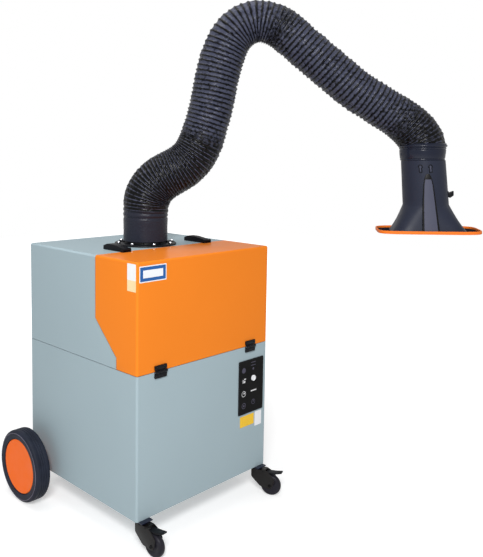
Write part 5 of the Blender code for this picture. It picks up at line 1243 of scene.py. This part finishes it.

# %% [markdown]
# A stiffening rib runs down each long side. It is a ramp that widens towards the plate, in a lighter
# plastic that paints its highlight. A black piece under it is a little wider and lower and starts higher
# up, so it paints the shade along the ramp's two edges and in the dark mouth at its top. Over it stand two
# keyhole outlines, raised black lines of painted shade, each with a lighter line of painted highlight in it.

# %% Ribs and keyholes
RIB_DEPTHS = (0.098, 0.106, 0.118, 0.135, 0.170, 0.230, 0.3025)
RIB_HALVES = (0.0022, 0.0068, 0.0104, 0.0132, 0.0160, 0.0195, 0.0228)
RIB_TOPS = (0.0772, 0.0780, 0.0788, 0.0798, 0.0822, 0.0875, 0.0975)
RIB_FOOT = 0.05
RAMP_START = 0.117
KEYHOLE_DEPTH = 0.0740
KEYHOLE_SHIFTS = (-0.0215, 0.0125)
# Painted highlight: the ramps and the keyholes' middle lines are lighter than the hood's own plastic.
rib_painted_highlight = moulded("rib_painted_highlight", srgb(74, 76, 92), 0.38)


def rib_piece(name, hand, grow, sink, start):
    """A ramp on one long side, from a start depth to the plate, cut off inside the hood's skin."""
    rings = []
    for depth in [start] + [level for level in RIB_DEPTHS if level > start + 0.004]:
        half_x = float(np.interp(depth, RIB_DEPTHS, RIB_HALVES)) + grow * (1 + 6 * (depth - 0.1))
        top_y = float(np.interp(depth, RIB_DEPTHS, RIB_TOPS)) - sink
        corners = [(-half_x, RIB_FOOT), (half_x, RIB_FOOT), (half_x, top_y), (-half_x, top_y)]
        middle_x = 0.0022 + 0.8 * hood_drift(depth)
        rings.append([(x * hand + middle_x, y * hand, -depth) for x, y in rounded(corners, 0.0012, 3)])
    ramp = skin_through(name, rings, HOOD, True)
    return shaped(ramp, [skin_through("cavity", hood_sections(HOOD_WALL / 2), HOOD, True)])


def neck_point(u, depth, hand):
    """A point on the neck, a distance u round it from the middle of a long side."""
    radius = neck_radius(depth)
    turn = u / radius
    return (hood_drift(depth) + radius * math.sin(turn) * hand, -radius * math.cos(turn) * hand, -depth)


def line_on(points, radius):
    """A closed thin line through points in the hood's frame."""
    curve = bpy.data.curves.new("line", "CURVE")
    curve.dimensions = "3D"
    curve.bevel_depth = radius
    curve.bevel_resolution = 2
    spline = curve.splines.new("POLY")
    spline.points.add(len(points) - 1)
    for point, place in zip(spline.points, points):
        point.co = (*place, 1)
    spline.use_cyclic_u = True
    drawn = placed("line", curve)
    drawn.matrix_world = HOOD
    bpy.context.view_layer.update()
    mesh = bpy.data.meshes.new_from_object(drawn.evaluated_get(bpy.context.evaluated_depsgraph_get()))
    mesh.transform(HOOD)
    mesh.shade_smooth()
    bpy.data.objects.remove(drawn)
    return placed("line", mesh)


def keyhole_lines(outline, radius):
    """The same line at all four keyholes: two on each long side."""
    lines = []
    for hand in (-1, 1):
        for shift in KEYHOLE_SHIFTS:
            points = [neck_point(shift + u, KEYHOLE_DEPTH - v, hand) for u, v in outline]
            lines.append(line_on(points, radius))
    return lines


ramps = [rib_piece("ramp", hand, 0.0, 0.0, RAMP_START) for hand in (-1, 1)]
dress(joined("hood_ramps", ramps), rib_painted_highlight, "hood", "hood_plastic")
# Painted shade: a black piece that shows past the ramp's edges and in its mouth.
painted_shade = [rib_piece("painted_shade", hand, 0.0028, 0.0006, RIB_DEPTHS[0]) for hand in (-1, 1)]
dress(joined("ramp_painted_shade", painted_shade), black_gloss, "hood", "hood_plastic")
# Painted shade: the keyholes' raised outlines in black, with a lighter painted highlight line in each.
keyhole = arc(0, 0, 0.0066, -58, 238, 18)
keyhole += [(-0.0048, -0.017), (-0.0040, -0.0195), (0.0040, -0.0195), (0.0048, -0.017)]
dress(joined("keyhole_painted_shade", keyhole_lines(keyhole, 0.0014)), black_gloss, "hood", "hood_plastic")
core = [(0.0010, 0.003), (0.0014, -0.015), (-0.0014, -0.015), (-0.0010, 0.003)]
dress(joined("keyhole_painted_highlight", keyhole_lines(core, 0.0013)), rib_painted_highlight, "hood", "hood_plastic")
print("ribs", len(ramps), "keyholes on each side", len(KEYHOLE_SHIFTS))

# %% [markdown]
# An orange soft profile edges the plate. It is a band of constant section that follows the plate's
# outline, with well rounded upper and lower edges. The flap's knob is a small block with soft corners.

# %% Rim and knob
RIM_WIDTH = 0.005
RIM_HEIGHT = 0.011
RIM_GAP = 0.0003
rim_top = floor_z + RIM_HEIGHT
band = [(RIM_GAP, floor_z), (RIM_WIDTH, floor_z), (RIM_WIDTH, rim_top), (RIM_GAP, rim_top)]
rings = [plate_ring(z, out) for out, z in rounded(band, 0.0019, 4)]
dress(skin_through("rim_profile", rings + rings[:1], HOOD), rim_plastic, "hood", "rim_orange", "hood_rim")

disc = [(0, -0.0015), (0.0693, -0.0015), (0.0700, -0.0008), (0.0700, 0.0008), (0.0693, 0.0015), (0, 0.0015)]
washer = [(0, 0.0757), (0.0090, 0.0757), (0.0096, 0.0765), (0.0096, 0.0785), (0.0080, 0.0795), (0, 0.0795)]
blade = [(0.0780, 0.0040), (0.0955, 0.0105), (0.0962, -0.0060), (0.0840, -0.0150), (0.0780, -0.0110)]
flap_parts = [
    turned("disc", disc, FLAP @ PLANES["XZ"], 72),
    turned("rod", rod(0.0040, -0.0700, 0.0830), FLAP @ PLANES["YZ"], 24),
    turned("washer", washer, FLAP @ PLANES["YZ"], 36),
    plate("grip", rounded(blade, 0.002, 3), -0.006, 0.006, FLAP, "XZ", 0.0012),
]
dress(joined("flap_and_knob", flap_parts), black_plastic, "throttle", "black_plastic", "throttle_flap")
print("rim points", len(rings) * HOOD_SIDES)

# %% [markdown]
# ## The back
# The clean air leaves through a grille of tilted slats, and beside it stands a round power inlet with
# three pins behind its shroud. The photograph doesn't show the back, so both are usual parts of their
# kind, and plain.

# %% Grille and power inlet
GRILLE_WIDTH = 0.320
GRILLE_HEIGHT = 0.150
GRILLE_BORDER = 0.022
SLATS = 7
SCREW_X = 0.148
SCREW_Z = 0.063
PIN_CIRCLE = 0.0115


def on_back(x, z, out=0.0):
    """A place on the cabinet's back or a little out from it, with Z pointing out of it."""
    return CABINET @ Matrix.Translation((x, FRONT + out, z)) @ Matrix.Rotation(-math.pi / 2, 4, "X")


surround = rectangle(GRILLE_WIDTH, GRILLE_HEIGHT, 0.011, 0, GRILLE_Z)
surround = plate("surround", surround, -FRONT - SEAT - 0.003, -FRONT - SEAT, edge=0.0009)
inner_width, inner_height = GRILLE_WIDTH - 2 * GRILLE_BORDER, GRILLE_HEIGHT - 2 * GRILLE_BORDER
opening = rectangle(inner_width, inner_height, 0.003, 0, GRILLE_Z)
parts = [shaped(surround, [plate("opening", opening, -PAST - MARGIN, -BEHIND)])]
tilt = Matrix.Rotation(math.radians(40), 4, "X")
for i in range(SLATS):
    z = GRILLE_Z + inner_height * ((i + 0.5) / SLATS - 0.5)
    at = CABINET @ Matrix.Translation((0, FRONT + SEAT + 0.0015, z)) @ tilt
    parts.append(plate("slat", rectangle(inner_width + 0.004, 0.014), -0.001, 0.001, at, "XY", 0.0004))
for x in (-SCREW_X, SCREW_X):
    for z in (GRILLE_Z - SCREW_Z, GRILLE_Z + SCREW_Z):
        parts.append(screw_at("head", on_back(x, z, SEAT + 0.0028), 0.0042, 0.0018))
dress(joined("grille", parts), black_plastic, "housing", "black_plastic", "exhaust_grille")

inlet = on_back(INLET_X, INLET_Z)
shroud = [(0.0228, 0.030), (0.0252, 0.030), (0.026, 0.0292), (0.026, 0.0042), (0.0268, 0.0034)]
shroud += [(0.0312, 0.0033), (0.032, 0.0026), (0.032, 0.0003), (0.026, 0.0003), (0.026, -0.015)]
shroud += [(0, -0.015), (0, -0.011), (0.022, -0.011), (0.022, 0.0292)]
socket = turned("shroud", shroud, inlet, 64, True)
key = plate("key", rectangle(0.008, 0.004, 0.001, 0, 0.0268), 0.012, 0.028, inlet, "XY", 0.0006)
dress(joined("inlet_shroud", [socket, key]), black_plastic, "housing", "black_plastic", "power_inlet")
pin = [(0, -0.0112), (0.0024, -0.0112), (0.0024, 0.018), (0.0014, 0.0202), (0, 0.0204)]
pins = []
for turn in (math.radians(90), math.radians(210), math.radians(330)):
    at = Matrix.Translation((PIN_CIRCLE * math.cos(turn), PIN_CIRCLE * math.sin(turn), 0))
    pins.append(turned("pin", pin, inlet @ at, 20))
dress(joined("inlet_pins", pins), zinc_steel, "housing", "zinc_steel")
print("slats", SLATS, "pins", len(pins))

# %% [markdown]
# The coarse filter mat lies on the pleated filter. It is loose fibre, so it has soft rounded edges and a
# gently uneven top. A grid pushed up and down by noise gives that, and it thins towards its rim.

# %% Filter mat
MAT_STEPS = (46, 42)
MAT_RIM = 0.016
MAT_GRAINS = 24
mat_low, mat_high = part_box("prefilter_mat")


def soft_mat(name, low, high, steps):
    """A loose mat: a rounded box whose top and bottom wander a little."""
    size = high - low
    bm = bmesh.new()
    layers = []
    for level in (0, 1):
        layer = []
        for i in range(steps[0] + 1):
            row = []
            for j in range(steps[1] + 1):
                u, v = i / steps[0], j / steps[1]
                rim = min(u, 1 - u) * size.x, min(v, 1 - v) * size.y
                soft = min(1.0, min(rim) / MAT_RIM) ** 0.5
                where = Vector((u * size.x, v * size.y, level)) * MAT_GRAINS
                wander = 0.0013 * noise.noise(where) + 0.0006 * noise.noise(where * 3.1)
                half_thick = size.z / 2 * (0.35 + 0.55 * soft) + wander * soft
                z = (low.z + high.z) / 2 + (half_thick if level else -half_thick)
                row.append(bm.verts.new((low.x + u * size.x, low.y + v * size.y, z)))
            layer.append(row)
        layers.append(layer)
    for layer in layers:
        for i in range(steps[0]):
            for j in range(steps[1]):
                bm.faces.new((layer[i][j], layer[i + 1][j], layer[i + 1][j + 1], layer[i][j + 1]))
    lower, upper = layers
    border = [(i, 0) for i in range(steps[0])] + [(steps[0], j) for j in range(steps[1])]
    border += [(i, steps[1]) for i in range(steps[0], 0, -1)] + [(0, j) for j in range(steps[1], 0, -1)]
    for (i, j), (k, m) in zip(border, border[1:] + border[:1]):
        bm.faces.new((lower[i][j], lower[k][m], upper[k][m], upper[i][j]))
    return piece_from(name, bm)


mat = soft_mat("fibre_mat", mat_low, mat_high, MAT_STEPS)
dress(mat, filter_mat, "housing", "filter_mat", "prefilter_mat")
print("mat", [round(value, 3) for value in mat_high - mat_low])

# %% [markdown]
# ## The hose
# The hose is a long tube of coated fabric over a spiral of spring wire. Where the arm stretches it the
# wire turns stand 15 to 18 mm apart, and where it is pushed together at the base they stand 11 mm apart.
# Fabric hangs in between, and it crinkles. A plain screw modifier can't follow a bent path with changing
# turns, so the surface is made as a grid: one row at each step along the path, one point at each angle
# round it. The radius at each point says where the wire is and how the fabric sags and crinkles there.

# %% The hose's path
swivel = Vector(joints["arm_swivel"]["pos_m"])
ACROSS_ARM = across_arm.normalized()
ALONG_ARM = ACROSS_ARM.cross(UP).normalized()
NECK_TOP = 0.0136


def in_arm_plane(x, z):
    """A world point from a distance along the arm's heading and a height over the swivel."""
    return swivel + ALONG_ARM * x + Vector((0, 0, z))


def hood_axis_point(depth):
    """The point (x, z) in the arm's plane on the hood's axis, at a depth under its collar's top."""
    point = HOOD @ Vector((0, 0, -depth)) - swivel
    return point.dot(ALONG_ARM), point.z


HOSE_ROUTE = [
    (0, NECK_TOP), (0, 0.045), (0, 0.085), (0.0005, 0.117), (0.006, 0.167), (0.033, 0.213),
    (0.075, 0.245), (0.120, 0.270), (0.159, 0.302), (0.186, 0.345), (0.203, 0.391), (0.229, 0.488),
    (0.247, 0.587), (0.259, 0.635), (0.274, 0.683), (0.296, 0.729), (0.332, 0.764), (0.376, 0.783),
    (0.425, 0.779), (0.472, 0.759), (0.511, 0.729), (0.550, 0.697), (0.627, 0.634), (0.706, 0.572),
    (0.746, 0.542), (0.790, 0.517), (0.832, 0.490), (0.876, 0.465), (0.918, 0.436), (0.952, 0.404),
    (0.972, 0.374), hood_axis_point(0.010), hood_axis_point(0.026), hood_axis_point(0.052),
]
PATH_STEP = 0.001
SMOOTHING = 60


def smooth_path(points, step):
    """Points at even steps along the Catmull-Rom curve through the route, with their lengths."""
    route = np.array(points)
    padded = np.vstack([2 * route[0] - route[1], route, 2 * route[-1] - route[-2]])
    fine = []
    for p0, p1, p2, p3 in zip(padded, padded[1:], padded[2:], padded[3:]):
        for t in np.linspace(0, 1, 24, endpoint=False):
            straight = 2 * p1 + (p2 - p0) * t
            bend = (2 * p0 - 5 * p1 + 4 * p2 - p3) * t**2 + (3 * p1 - p0 - 3 * p2 + p3) * t**3
            fine.append((straight + bend) / 2)
    fine = np.vstack([fine, route[-1]])
    for _ in range(SMOOTHING):
        fine[1:-1] = (fine[:-2] + 2 * fine[1:-1] + fine[2:]) / 4
    lengths = np.concatenate([[0], np.cumsum(np.linalg.norm(np.diff(fine, axis=0), axis=1))])
    even = np.arange(0, lengths[-1], step)
    return np.column_stack([np.interp(even, lengths, fine[:, i]) for i in (0, 1)]), even


hose_path, hose_lengths = smooth_path(HOSE_ROUTE, PATH_STEP)
print("hose length", round(hose_lengths[-1], 3))

# %% [markdown]
# Six facts change along the hose: how far apart the wire turns are, how wide it is, how deep the fabric
# sags, how much it crinkles, how high its zigzag folds stand, and whether the painted highlight lies on its
# ridges or on the fabric between them, with painted shade on the other. Each is a short list of places
# and values, and numpy fills in between them.
# The wire's phase is the sum of its turns so far, so the spiral runs on smoothly where the spacing
# changes. The lowest part is a smooth sleeve over the turntable, with three soft wrinkles where the ribs
# begin.

# %% How the hose changes along its length
HOSE_RADIUS = 0.0795
PITCH_AT = ((0, 0.0110), (0.10, 0.0104), (0.38, 0.0108), (0.46, 0.0145), (0.60, 0.0155), (0.92, 0.0150),
            (1.00, 0.0130), (1.10, 0.0175), (1.42, 0.0175), (1.55, 0.0125), (1.72, 0.0110))
WIDTH_AT = ((0, 0.99), (0.055, 0.985), (0.085, 1.0), (0.11, 1.01), (0.15, 1.045), (0.27, 1.045),
            (0.36, 1.01), (0.72, 1.0), (0.92, 0.925), (1.51, 0.93), (1.60, 0.975), (1.65, 0.975),
            (1.668, 0.925), (1.72, 0.925))
SAG_AT = ((0, 0.0), (0.116, 0.0), (0.126, 0.0020), (0.16, 0.0030), (0.42, 0.0036), (0.50, 0.0058),
          (0.95, 0.0060), (1.02, 0.0046), (1.10, 0.0060), (1.45, 0.0060), (1.58, 0.0040), (1.72, 0.0020))
CRINKLE_AT = ((0, 0.00035), (0.08, 0.0006), (0.13, 0.0019), (0.45, 0.0021), (0.60, 0.0025), (1.72, 0.0021))
ZIGZAG_AT = ((0, 0.0), (0.12, 0.0), (0.15, 0.0019), (0.42, 0.0019), (0.50, 0.0005), (0.90, 0.0005),
             (1.00, 0.0014), (1.10, 0.0013), (1.45, 0.0013), (1.55, 0.0015), (1.72, 0.0015))
# Where the painted highlight lies: 0 on the wire's ridge, 1 on the fabric between two ridges.
PAINTED_HIGHLIGHT_AT = ((0, 0.5), (0.12, 0.0), (0.40, 0.0), (0.50, 1.0), (0.92, 1.0), (1.00, 0.4), (1.08, 1.0),
             (1.45, 1.0), (1.58, 0.3), (1.72, 0.3))
WRINKLES = (0.0830, 0.1000, 0.1165)
WRINKLE_DEPTH = 0.0024
WRINKLE_WIDTH = 0.0042
WRINKLE_WANDER = 0.0012
SLEEVE_TO_RIBS = (0.100, 0.128)
SLEEVE_PAINTED_LIGHT = 0.45
RIDGE_POWER = 2.6
GRAINS_ROUND = 10.0
GRAINS_A_TURN = 1.7
FOLDS_ROUND = 27
FOLD_LEAN = 3.4
FOLD_SHADE = 140


def along_hose(table, length):
    """The value at a length along the hose, from places and values."""
    places, values = zip(*table)
    return float(np.interp(length, places, values))


spacing = np.interp(hose_lengths, *zip(*PITCH_AT))
turns = np.cumsum(PATH_STEP / spacing)
print("wire turns", round(turns[-1]))


def hose_row(length, phase, angles):
    """The hose's radii and its painted light and shade, at a length, for a wire phase and angles."""
    painted_highlight_share = along_hose(PAINTED_HIGHLIGHT_AT, length)
    smooth = float(np.interp(length, SLEEVE_TO_RIBS, (1, 0)))
    sag, crinkle_depth = along_hose(SAG_AT, length), along_hose(CRINKLE_AT, length)
    zigzag_depth, width = along_hose(ZIGZAG_AT, length), HOSE_RADIUS * along_hose(WIDTH_AT, length)
    row = []
    for angle in angles:
        place = (phase + angle / (2 * math.pi)) % 1.0
        turn = math.floor(phase + angle / (2 * math.pi))
        from_wire = abs(place - 0.5) * 2
        dip = 1 - from_wire**RIDGE_POWER
        x, y = GRAINS_ROUND * math.cos(angle), GRAINS_ROUND * math.sin(angle)
        where = Vector((x, y, phase * GRAINS_A_TURN))
        crinkle = noise.noise(where) + 0.5 * noise.noise(where * 2.3)
        coarse = noise.noise(where * 0.33 + Vector((7, 3, 1)))
        lean = FOLD_LEAN * (place - 0.5)
        zigzag = math.sin(FOLDS_ROUND * angle + math.pi * turn + lean + 2.2 * coarse) * (0.55 + 0.9 * coarse)
        fold = sag * dip * (0.9 + 0.6 * coarse)
        fold -= crinkle_depth * crinkle * (0.3 + 0.7 * dip)
        fold -= zigzag_depth * zigzag * (1 - 0.8 * from_wire**2)
        for centre in WRINKLES:
            away = (length - centre - WRINKLE_WANDER * coarse) / WRINKLE_WIDTH
            fold += WRINKLE_DEPTH * math.exp(-away * away)
        # Painted light: a painted highlight on the ridge or the fabric, painted shade in the folds and zigzags,
        # and a flat middle level on the sleeve.
        light = dip**1.7 * painted_highlight_share + (1 - dip) ** 1.1 * (1 - painted_highlight_share)
        light *= 0.90 + 0.75 * crinkle + FOLD_SHADE * zigzag_depth * zigzag
        light += (SLEEVE_PAINTED_LIGHT - light) * smooth
        row.append((width - fold, min(1.0, max(0.0, light))))
    return row


# %% The hose's surface
ROWS_PER_TURN = 10
POINTS_ROUND = 104
HEADING_REACH = 0.004


def path_at(lengths):
    """The points (x, z) of the hose's middle line at lengths along it."""
    return np.column_stack([np.interp(lengths, hose_lengths, hose_path[:, i]) for i in (0, 1)])


def hose_piece(name, start, end):
    """One stretch of the hose from a start to an end length, as an open tube."""
    first, last = np.interp([start, end], hose_lengths, turns)
    rows = max(2, round((last - first) * ROWS_PER_TURN))
    phases = np.linspace(first, last, rows + 1)
    lengths = np.interp(phases, turns, hose_lengths)
    headings = path_at(lengths + HEADING_REACH) - path_at(lengths - HEADING_REACH)
    headings /= np.linalg.norm(headings, axis=1)[:, None]
    angles = turn_steps(POINTS_ROUND)
    bm = bmesh.new()
    uv_layer = bm.loops.layers.uv.new("along_and_round")
    # Each point carries its painted light and shade, and the fabric's base colour is made from it.
    painted_light_layer = bm.verts.layers.float_color.new("painted_fold_light")
    grid = []
    for (x, z), (hx, hz), length, phase in zip(path_at(lengths), headings, lengths, phases):
        centre = in_arm_plane(x, z)
        outward = ALONG_ARM * hz - Vector((0, 0, hx))
        ring = []
        for angle, (radius, light) in zip(angles, hose_row(length, phase, angles)):
            direction = outward * math.cos(angle) + ACROSS_ARM * math.sin(angle)
            ring.append(bm.verts.new(centre + direction * radius))
            ring[-1][painted_light_layer] = (light, light, light, 1)
        grid.append(ring)
    for i in range(rows):
        for k in range(POINTS_ROUND):
            after_k = (k + 1) % POINTS_ROUND
            face = bm.faces.new((grid[i][k], grid[i + 1][k], grid[i + 1][after_k], grid[i][after_k]))
            face.smooth = True
            corners = ((i, k), (i + 1, k), (i + 1, k + 1), (i, k + 1))
            for loop, (row, column) in zip(face.loops, corners):
                loop[uv_layer].uv = (lengths[row], column / POINTS_ROUND * 0.5)
    return as_object(name, bm)


# %% [markdown]
# The fabric is coated, so it is nearly black and has a soft gloss, and its cloth shows as a fine weave.
# The weave follows the surface's own coordinates, so it bends with the hose. The surface carries a layer
# of painted light for each fold, and a ramp makes the base colour from it: black as painted shade in the
# folds, and a dark blue grey as a painted highlight where the cloth is taut.

# %% Hose fabric
WEAVE_GRAINS = 220.0


def coated_fabric(name, colour, roughness):
    """A dark coated cloth with a woven bump, and painted shade and highlights from its layer of painted light."""
    finish, shader = base_finish(name, colour, roughness, specular=0.18)
    tree = finish.node_tree
    coordinates = add_node(tree, "TexCoord", {})
    weave = {}
    for socket, axis in enumerate(("X", "Y")):
        wave = add_node(tree, "TexWave", {"Scale": WEAVE_GRAINS, "Vector": coordinates.outputs["UV"]})
        wave.bands_direction = axis
        weave[socket] = wave.outputs["Fac"]
    both = add_node(tree, "Math", weave, "MULTIPLY")
    bump(finish, shader, both.outputs["Value"], 0.00025, 0.3)
    where = metres(finish)
    bump(finish, shader, noise_of(finish, where, 150.0, 3.0), 0.0007, 0.4)
    folds = add_node(tree, "VertexColor", {})
    folds.layer_name = "painted_fold_light"
    # Painted light: black for painted shade in the folds, up to 3.1 times the colour for painted highlights.
    vary(finish, shader, "Base Color", folds.outputs["Color"], *shades(colour, 0.0, 3.1))
    vary(finish, shader, "Roughness", noise_of(finish, where, 70.0, 2.0), roughness - 0.05, roughness + 0.12)
    return finish


hose_fabric = coated_fabric("hose_fabric", srgb(35, 37, 48), 0.28)

# %% [markdown]
# The hose is made in three lengths that meet end to end, and they stand in for the imported hose's pieces.

# %% The hose's three lengths
JOIN_LOWER = 0.51
JOIN_UPPER = 1.18
HOSE_END = 1.690


hose_base = hose_piece("hose_base", 0.0, JOIN_LOWER)
hose_middle = hose_piece("hose_middle", JOIN_LOWER, JOIN_UPPER)
hose_end = hose_piece("hose_end", JOIN_UPPER, HOSE_END)
for piece in (hose_base, hose_middle, hose_end):
    piece.data.materials.append(hose_fabric)
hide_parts("hose_base_bend")
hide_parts("hose_lower_run", "hose_elbow_bend")
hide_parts("hose_upper_run", "hose_wrist_bend")
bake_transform(hose_base)
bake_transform(hose_middle)
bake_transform(hose_end)
print("hose faces", sum(len(piece.data.polygons) for piece in (hose_base, hose_middle, hose_end)))

# %% [markdown]
# A smooth glossy cuff holds the hose's end over the hood's collar. It has a round bead on top, where the
# hose is rolled in, a plain band, and a fine ring where it meets the hood. The clamp's lock sticks out at
# its side.

# %% Cuff
cuff_plastic = moulded("cuff_plastic", srgb(27, 31, 46), 0.22, 0.00003, 0.25)
section = [(0.0680, 0.0066), (0.0780, 0.0066), (0.0800, 0.0052)]
section += arc(0.0788, -0.0020, 0.0042, 75, -75, 8)
section += [(0.0785, -0.0075), (0.0788, -0.0085), (0.0795, -0.0095), (0.0798, -0.0108), (0.0790, -0.0124)]
section += [(0.0776, -0.0134), (0.0776, -0.0148), (0.0787, -0.0160), (0.0790, -0.0178), (0.0764, -0.0440)]
section += [(0.0758, -0.0455), (0.0748, -0.0463), (0.0748, -0.0471), (0.0756, -0.0479), (0.0759, -0.0490)]
section += [(0.0756, -0.0510), (0.0746, -0.0519), (0.0680, -0.0519)]
CUFF_PLACE = HOOD @ Matrix.Translation((-0.0054, 0, 0))
cuff = turned("cuff", section, CUFF_PLACE, 112, True)
lock_turn = HOOD @ Matrix.Rotation(math.radians(189), 4, "Z") @ Matrix.Translation((0, 0, -0.0290))
lock = plate("lock", rectangle(0.024, 0.012, 0.004), 0.0720, 0.0838, lock_turn, "YZ", 0.0026)
dress(joined("hose_cuff", [cuff, lock]), cuff_plastic, "wrist", "black_plastic")
print("cuff section points", len(section))

# %% The picture's record of size
visual_bounds = [list(corner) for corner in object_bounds()]
for axis, low, high, cad_low, cad_high in zip("xyz", *visual_bounds, *cad_bounds):
    print(axis, "visual", round(low, 4), round(high, 4), "cad", round(cad_low, 4), round(cad_high, 4))
